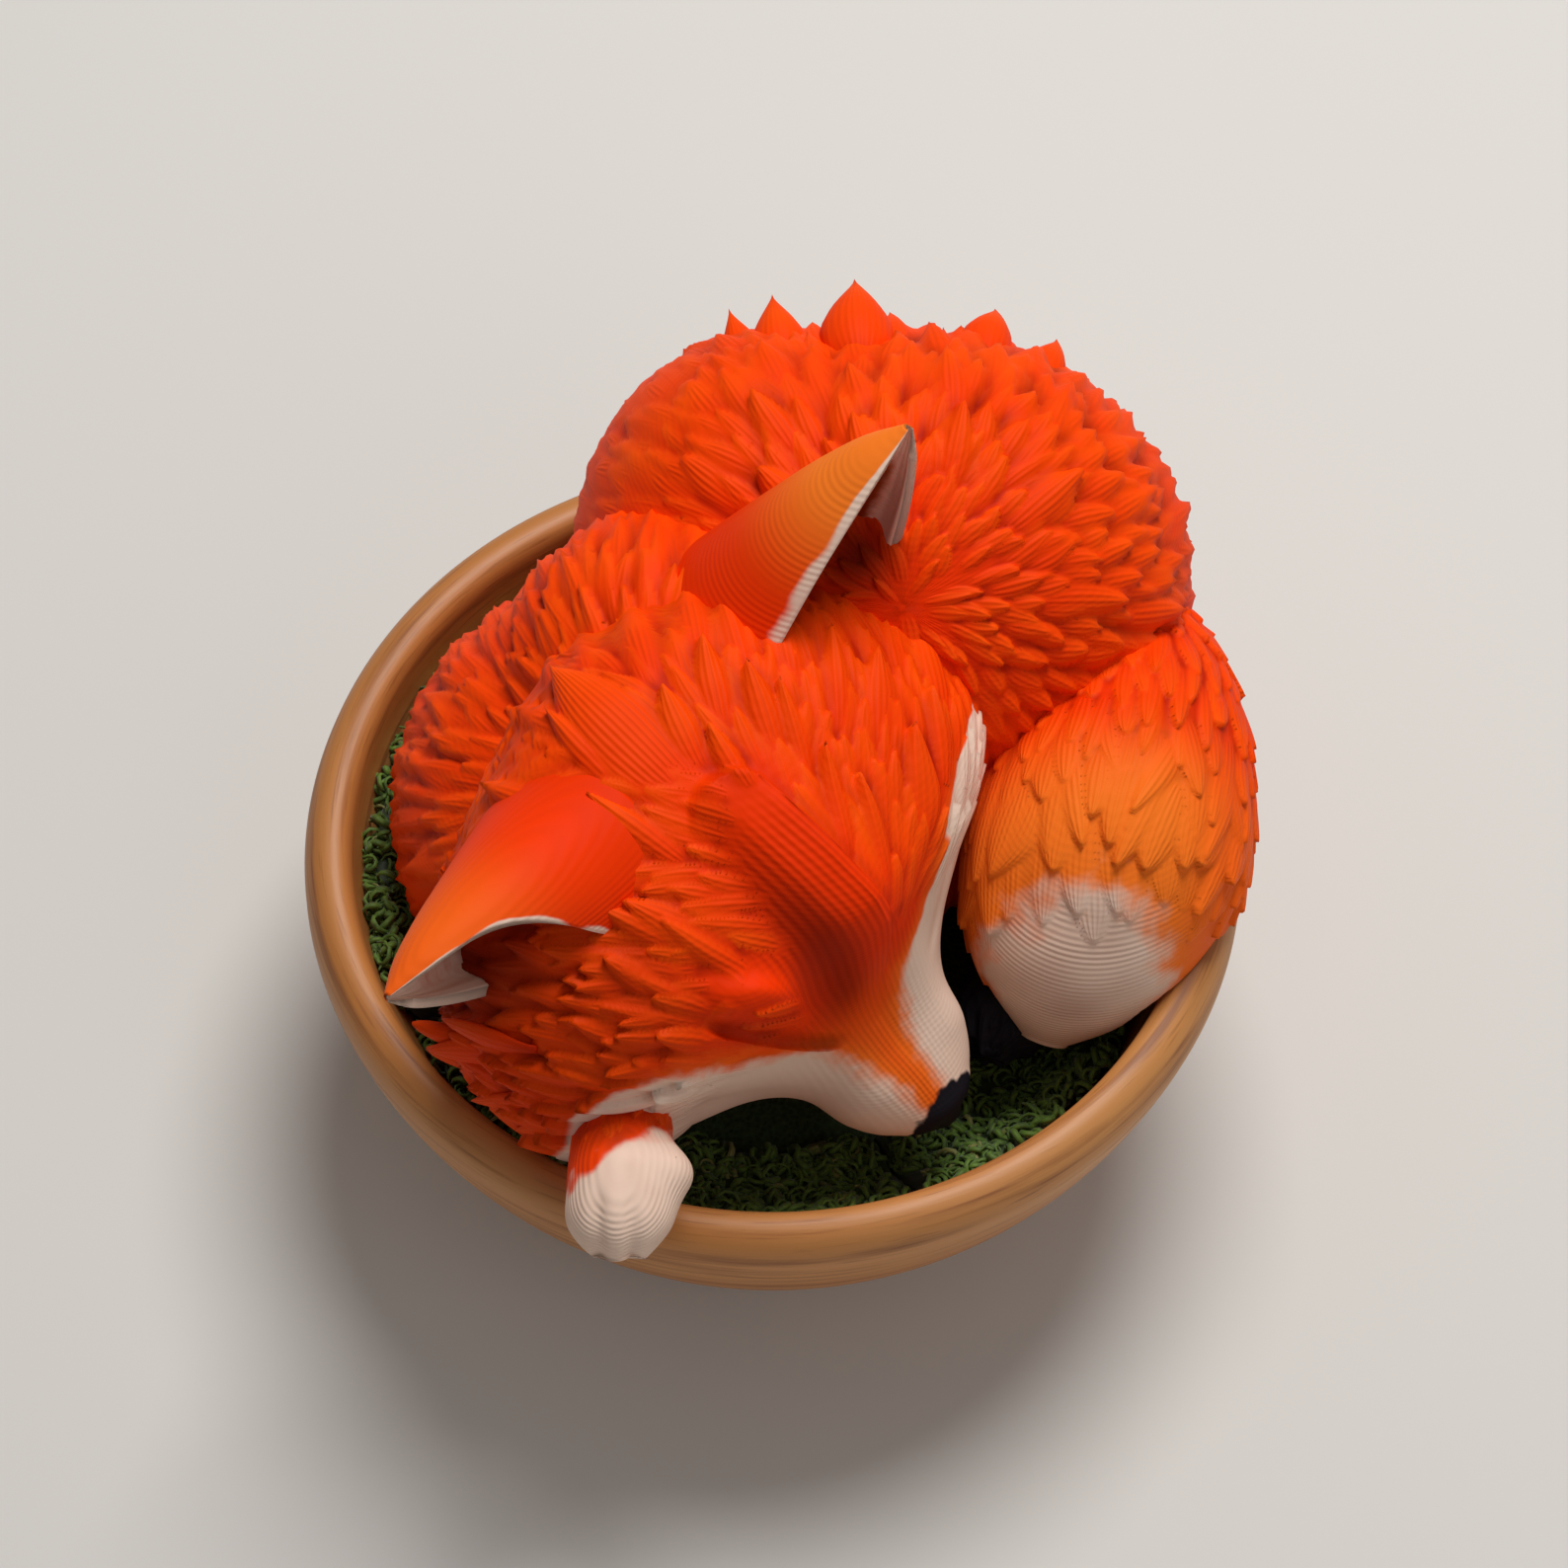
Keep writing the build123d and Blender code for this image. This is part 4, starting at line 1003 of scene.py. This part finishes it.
class FIGURINE_OT_tail(bpy.types.Operator):
    """Makes the tail that curls round the haunch to the nose, orange, then amber, with a cream end"""
    bl_idname = "figurine.tail"
    bl_label = "Tail"

    def execute(self, context):
        grid = tube_form(TAIL_PATH, TAIL_RADII, 210, 340)
        x, y, z = np.moveaxis(grid, -1, 0)
        locks = comb(grid, np.gradient(grid, axis=0), ((0, 2.6, 2.4), (1, 2.9, 3.0)), tail_shape, 41)
        rise = 0.75 * (1 - 0.7 * ease(-np.array(TAIL_LOCKS)[:, 4], 10, 15))
        locks = join_locks(locks, TAIL_LOCKS, TAIL_MIDDLE, rise)
        # the cream end's edge is uneven, and lies further back towards the bowl
        edge = -13.0 + 1.1 * waves(grid, 4.0, 45) + 0.25 * np.maximum(24 - x, 0) + (z - 47) * 0.15
        cream = ease(edge - 0.45 * np.maximum(x - 31, 0) - y, -2.8, 6.4)
        paints = {"cream": cream, "glow": 0.9 * ease(4 - y, 0, 13) * (1 - 0.5 * ease(x, 36, 43))}
        # the cream end is darkened unevenly
        wash_and_shade = cream * (0.5 + 0.3 * waves(grid, 5.0, 46))
        part = coat(grid, locks, paints, 0.5, z / 0.5, point=0.6, fine=0.45 + 0.45 * cream, wash_and_shade=wash_and_shade)
        return fur_piece("tail_coat", "fox_tail", part)


def toes(grid, gaps, start, end, depth):
    """Dents between the toes: narrow grooves at the given places across the paw, that start above the
    knuckles and reach round its end."""
    total = sum(hump((grid[..., 0] - gap) / 0.9) for gap in gaps)
    return -depth * total * ease(-grid[..., 1], start, end)


class FIGURINE_OT_paws(bpy.types.Operator):
    """Makes the forepaw that hangs over the rim and the hind paw with its black sock"""
    bl_idname = "figurine.paws"
    bl_label = "Paws"

    def execute(self, context):
        grid = tube_form(FOREPAW_PATH, FOREPAW_RADII, 190, 180)
        x, y, z = np.moveaxis(grid, -1, 0)
        locks = comb(grid, np.gradient(grid, axis=0), ((0, 2.4, 1.7), (1, 2.4, 1.7)),
                     lambda root: (4.5, 0.9, 0.28 * (1 - ease(-root[:, 1], 31, 36))), 51)
        knuckle = 1.9 * hump((x + 8.8) / 2.2, (y + 41) / 2.6, (z - 44.6) / 3.0)
        relief = toes(grid, (-15.6, -12.2), 42.0, 47.5, 0.45) + knuckle
        edge = -y + 0.9 * waves(grid, 3.0, 54) + 0.6 * (x + 13.6)
        paints = {"cream": ease(edge, 38.2, 42.6), "glow": 0.1 * ease(edge, 33, 38)}
        # painted shadow of the head on the leg above the cream paw, with uneven tone all over
        wash_and_shade = 0.3 * ease(41 - edge, 0, 3) + 0.22 * waves(grid, 3.0, 57)
        fur_piece("forepaw_coat", "fox_forepaw", coat(grid, locks, paints, 0.45, z / 0.42, relief, 0.8, 0.8, wash_and_shade))

        grid = tube_form(HIND_PAW_PATH, HIND_PAW_RADII, 150, 120)
        locks = comb(grid, np.gradient(grid, axis=0), ((0, 2.0, 1.6), (1, 2.0, 1.6)),
                     lambda root: (4.0, 0.95, 0.6 + 0 * root[:, 0]), 55)
        relief = toes(grid, (18.6, 21.0, 23.4), 15.5, 18.0, 0.6)
        sock = coat(grid, locks, {"soot": 1.0}, 0.45, relief=relief, point=0.8)
        return fur_piece("hind_sock", "fox_hind_paw", sock, slot="black_sock_paint")


class FIGURINE_OT_ears(bpy.types.Operator):
    """Makes the two ears, orange behind and cream inside"""
    bl_idname = "figurine.ears"
    bl_label = "Ears"

    def execute(self, context):
        rows, columns = 150, 200
        half = columns // 2
        share = np.linspace(0, 1, rows)[:, None] ** 0.85 + np.zeros(columns)
        index = np.arange(columns)
        inner = (index >= half) + 0 * share
        from_rim = np.minimum(np.abs(index - half), np.minimum(index, columns - index)) + 0 * share
        # painted shade inside the ears: darker away from their rims and towards their feet
        middle = inner * ease(from_rim, 5, 18) * ease(0.96 - share, 0, 0.25)
        pleats = inner * 0.22 * np.sin(index * 0.33) * ease(0.9 - share, 0, 0.4)
        # dark: how much painted shade fills the middle of the ear's inside
        for name, node, ear, amber, pale_rim, dark in (
            ("far_ear_shell", "fox_far_ear", FAR_EAR, 1.0, 6.5, 0.85),
            ("near_ear_shell", "fox_near_ear", NEAR_EAR, 0.4, 4.0, 0.45),
        ):
            grid = ear_form(*ear, rows, columns)
            rim = hump(from_rim / pale_rim) * (0.72 + 0.2 * waves(grid, 4.0, 61)) * ease(share, 0.1, 0.3)
            paints = {
                "cream": np.maximum(inner * (1 - dark * middle), ease(rim, 0.35, 0.8)),
                "glow": amber * ease(share, 0.35, 0.85) + 0.15 * ease(share, 0.2, 0.7),
                # painted shade at the foot of the ear's back and in the middle of its inside
                "deep": 0.12 * ease(0.3 - share, 0, 0.3) * (1 - inner) + dark * middle,
            }
            grid = grid + normals_of(grid) * pleats[..., None]
            lines = np.where(inner > 0, index * 0.16, grid[..., 2] / 0.46)
            # painted shade on the cream lining, stronger towards the foot
            hollow_shade = 0.7 * inner * ease(0.75 - share, 0, 0.6)
            fur_piece(name, node, shells(dress(grid, 0.0, hollow_shade, lines, 0.3 + 0.3 * inner, paints)[None]))
        return {"FINISHED"}


# ---- bowl and moss ----

# the bowl's profile as (radius, height): foot, rim and floor
FOOT = ((0.05, 0.0), (8, 0.0), (16, 0.0), (23.2, 0.0))
RIM = ((44.95, 34.2), (44.6, 35.3), (44.0, 36.2), (43.3, 36.75), (42.4, 37.0), (41.6, 36.95), (41.0, 36.6),
       (40.6, 36.1), (40.35, 35.3))
FLOOR = ((18, 4.5), (10, 4.5), (0.05, 4.5))
MOSS_NAMES = ("moss_right", "moss_back_right", "moss_back", "moss_back_left", "moss_left", "moss_front_left",
              "moss_front", "moss_front_right")
MOSS_SECTION = ((28.4, 15.0), (29.9, 20.0), (32.6, 25.0), (35.9, 30.0), (37.4, 31.6), (38.8, 31.8), (39.1, 31.0),
                (38.3, 27.6), (37.4, 25.0), (35.3, 20.0), (32.3, 15.0))
MOSS_FRONT_SECTION = ((24.0, 15.0), (25.0, 18.2), (30.6, 19.6), (34.0, 23.4), (36.4, 25.4), (37.2, 25.2),
                      (35.3, 20.0), (32.3, 15.0))


def arc(start, end, bulge, count):
    """Points on a circular arc that stands out by bulge from the line between its ends."""
    start, end = np.array(start, float), np.array(end, float)
    run = end - start
    chord = np.linalg.norm(run)
    radius = chord**2 / (8 * bulge) + bulge / 2
    centre = (start + end) / 2 - np.array([run[1], -run[0]]) / chord * (radius - bulge)
    first, last = (math.atan2(*(point - centre)[::-1]) for point in (start, end))
    turn = np.linspace(first, last, count)
    return centre + radius * np.stack([np.cos(turn), np.sin(turn)], -1)


def carried_round(radius, height, turn):
    """Points at a radius and height, at each turn about the bowl's axis."""
    return np.stack([radius * np.cos(turn), radius * np.sin(turn), height + 0 * turn], -1)


class FIGURINE_OT_bowl(bpy.types.Operator):
    """Makes the turned bowl"""
    bl_idname = "figurine.bowl"
    bl_label = "Bowl"

    def execute(self, context):
        outside, inside = arc((24, 0), (45, 33), 3.8, 34), arc((23, 4.5), (40.3, 35.3), 3.6, 34)[::-1]
        profile = np.vstack([FOOT, outside, RIM, inside[1:], FLOOR])
        turn = turns(360)
        worn = 1 - 0.0006 * np.sin(3 * turn + 0.4)
        grid = carried_round(profile[:, :1], profile[:, 1:], turn) * np.stack([worn, worn, 1 + 0 * turn], -1)
        # the grain's own coordinates: slow round the bowl, quick down its wall
        down = runs(profile)[:, None] + 1.2 * np.sin(turn) + 0.8 * np.cos(2 * turn)
        grain = [1.9 * np.cos(turn) + 0 * down, 1.9 * np.sin(turn) + 0 * down, down]
        part = shells(np.concatenate([grid, np.stack(grain, -1)], -1)[None])
        make_piece("turned_bowl", [part], GRAIN_CHANNELS, oiled_beech(), BOWL, "bowl")
        return {"FINISHED"}


def moss_bed(section, first, last, seed):
    """The matted underside of a clump: its section, drawn in by half a millimetre and made uneven, carried
    round its share of the ring."""
    closed = np.array([*section, section[0]])
    run = runs(closed)
    at = np.linspace(0, run[-1], 44, endpoint=False)
    ring = np.stack([np.interp(at, run, closed[:, k]) for k in range(2)], -1)
    ring = ring + (ring.mean(0) - ring) * 0.1
    grid = carried_round(ring[:, 0], ring[:, 1], np.linspace(first, last, 40)[:, None])
    return grid + unit(grid - grid.mean(1, keepdims=True)) * (0.35 * waves(grid, 2.2, seed))[..., None]


def moss_curls(section, first, last, count, thick, seed):
    """Curled leaves: each is a short spring of one to one and a half turns that opens as it goes, lying at
    a random angle on the clump's upper side, with a four-sided section that thins to both ends."""
    rng = np.random.default_rng(seed)
    upper = np.array(section[1:-2])
    run = runs(upper)
    at = rng.uniform(0, run[-1], count)
    radius, height = np.interp(at, run, upper[:, 0]), np.interp(at, run, upper[:, 1])
    turn = rng.uniform(first + 0.02, last - 0.02, count)
    centre = carried_round(radius, height + rng.uniform(-0.7, 0.25, count), turn)
    x = np.linspace(0, 1, 12)
    spin = rng.uniform(1.0, 1.6, count)[:, None] * ROUND * x + rng.uniform(0, 6.28, count)[:, None]
    wide = rng.uniform(0.7, 1.45, count)[:, None] * (0.45 + 0.55 * x)
    length = rng.uniform(0.3, 1.5, count)[:, None] * (x - 0.5)
    axis = unit(rng.normal(size=(count, 3)) + [0, 0, 0.6])
    side = unit(np.cross(axis, rng.normal(size=(count, 3))))
    line = (centre[:, None] + axis[:, None] * length[..., None] + side[:, None] * (wide * np.cos(spin))[..., None]
            + np.cross(axis, side)[:, None] * (wide * np.sin(spin))[..., None])
    along = unit(np.gradient(line, axis=1))
    flat = unit(np.cross(along, axis[:, None]))
    turn = turns(4)[:, None]
    ring = np.cos(turn) * flat[:, :, None] * 0.55 + np.sin(turn) * np.cross(along, flat)[:, :, None]
    girth = thick / 2 * (0.35 + 0.65 * np.sin(math.pi * (0.08 + 0.84 * x)))
    points = line[:, :, None] + ring * girth[:, None, None]
    return points, rng.uniform(0, 1, count)[:, None, None] + np.zeros(points.shape[:3])


class FIGURINE_OT_moss(bpy.types.Operator):
    """Makes the eight clumps of curled moss round the fox"""
    bl_idname = "figurine.moss"
    bl_label = "Moss"

    def execute(self, context):
        finish, material = context.scene.moss_finish, preserved_moss()
        share = ROUND / len(MOSS_NAMES)
        for index, name in enumerate(MOSS_NAMES):
            section = MOSS_FRONT_SECTION if "front" in name else MOSS_SECTION
            ends = (index - 0.5) * share + 0.01, (index + 0.5) * share - 0.01
            bed = moss_bed(section, *ends, 60 + index)
            # painted shade: the matted underside is given a low place in the clump, so it is dark
            bed = np.concatenate([bed, np.zeros(bed.shape[:2] + (2,)) + [0.15, 0.2]], -1)
            curls, tone = moss_curls(section, *ends, finish.curls, finish.strand / MM, 70 + index)
            top = table_at(np.hypot(curls[..., 0], curls[..., 1]), section[:-2])
            # painted shade: how far each curl rises over the clump's surface
            depth = ease(curls[..., 2] - top, -1.2, 0.7)
            curls = np.concatenate([curls, np.stack([depth, tone], -1)], -1)
            make_piece(name + "_curls", [shells(bed[None]), shells(curls)], MOSS_CHANNELS, material, BOWL, name)
        return {"FINISHED"}


class FIGURINE_OT_hidden(bpy.types.Operator):
    """Finishes the foam bed and the dowels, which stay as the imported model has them"""
    bl_idname = "figurine.hidden"
    bl_label = "Foam and dowels"

    def execute(self, context):
        foam, rod = craft_foam(), raw_rod()
        for name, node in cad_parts.items():
            if name == "foam_bed" or name.endswith("_dowel"):
                node.data.materials.clear()
                node.data.materials.append(foam if name == "foam_bed" else rod)
        return {"FINISHED"}


# ---- studio ----

def stand(name, data, place=(0, 0, 0), turn=(0, 0, 0)):
    """Puts a new object with this data into the scene."""
    thing = bpy.data.objects.new(name, data)
    thing.location, thing.rotation_euler = place, turn
    bpy.context.scene.collection.objects.link(thing)
    return thing


class FIGURINE_OT_stage(bpy.types.Operator):
    """Sets up the pale floor, the soft lights and the camera"""
    bl_idname = "figurine.stage"
    bl_label = "Studio"

    def execute(self, context):
        scene, look = context.scene, context.scene.studio_look
        mesh = bpy.data.meshes.new("studio_floor")
        mesh.from_pydata([(-3, -3, 0), (3, -3, 0), (3, 3, 0), (-3, 3, 0)], [], [(0, 1, 2, 3)])
        material, node = new_material("Matt studio paper")
        node("OutputMaterial", {"Surface": node("BsdfPrincipled", {"Base Color": look.floor, "Roughness": 0.95})})
        mesh.materials.append(material)
        stand("studio_floor", mesh)
        for name, place, width, power in (
            ("key_light", (0.10, 0.24, 0.62), 0.34, look.key_power),
            ("front_light", (0.34, -0.42, 0.45), 0.5, look.key_power * 0.13),
        ):
            lamp = bpy.data.lights.new(name, "AREA")
            lamp.shape, lamp.size, lamp.energy = "DISK", width, power
            x, y, z = np.array([0, 0, 0.04]) - place
            stand(name, lamp, place, (math.acos(-z / math.hypot(x, y, z)), 0, math.atan2(y, x) - math.pi / 2))
        world = bpy.data.worlds.new("even_room_light")
        world.use_nodes = True
        world.node_tree.nodes["Background"].inputs["Color"].default_value = (1.0, 1.0, 1.0, 1.0)
        world.node_tree.nodes["Background"].inputs["Strength"].default_value = look.fill
        scene.world = world
        # the photograph was taken from 58 degrees above the table, 420 mm away
        above = math.radians(58)
        back, up = np.array([[0, -math.cos(above), math.sin(above)], [0, math.sin(above), math.cos(above)]])
        lens = bpy.data.cameras.new("photo_camera")
        lens.sensor_width, lens.lens, lens.clip_start = 36, 100.9, 0.01
        place = np.array([0.00104, 0, 0.037]) + 0.420 * back + 0.0040 * up
        scene.camera = stand("photo_camera", lens, place, (math.pi / 2 - above, 0, 0))
        scene.view_settings.view_transform = "Standard"
        return {"FINISHED"}


class FIGURINE_PT_panel(bpy.types.Panel):
    """Lists the figurine's pieces, sizes and finishes"""
    bl_idname = "FIGURINE_PT_panel"
    bl_label = "Sleeping fox"
    bl_space_type = "VIEW_3D"
    bl_region_type = "UI"
    bl_category = "Fox"

    def draw(self, context):
        for operator in OPERATORS:
            self.layout.operator(operator.bl_idname)
        for group in GROUPS:
            box = self.layout.box()
            settings = getattr(context.scene, group)
            for field in settings.bl_rna.properties:
                if field.identifier not in ("rna_type", "name"):
                    box.prop(settings, field.identifier)


GROUPS = {"fox_paint": FoxPaint, "fox_print": FoxPrint, "bowl_finish": BowlFinish, "moss_finish": MossFinish,
          "studio_look": StudioLook}
OPERATORS = (FIGURINE_OT_bowl, FIGURINE_OT_moss, FIGURINE_OT_hidden, FIGURINE_OT_body, FIGURINE_OT_ruff,
             FIGURINE_OT_tail, FIGURINE_OT_paws, FIGURINE_OT_head, FIGURINE_OT_ears, FIGURINE_OT_stage)


def register():
    for cls in (*GROUPS.values(), *OPERATORS, FIGURINE_PT_panel):
        bpy.utils.register_class(cls)
    for name, group in GROUPS.items():
        setattr(bpy.types.Scene, name, bpy.props.PointerProperty(type=group))


def unregister():
    for name in GROUPS:
        delattr(bpy.types.Scene, name)
    for cls in (FIGURINE_PT_panel, *reversed(OPERATORS), *reversed(tuple(GROUPS.values()))):
        bpy.utils.unregister_class(cls)


def corners(box):
    return [[float(value) for value in corner] for corner in box]


def main():
    register()
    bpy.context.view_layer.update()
    for operator in OPERATORS:
        category, name = operator.bl_idname.split(".")
        getattr(getattr(bpy.ops, category), name)()
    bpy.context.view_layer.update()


if __name__ == "__main__":
    main()
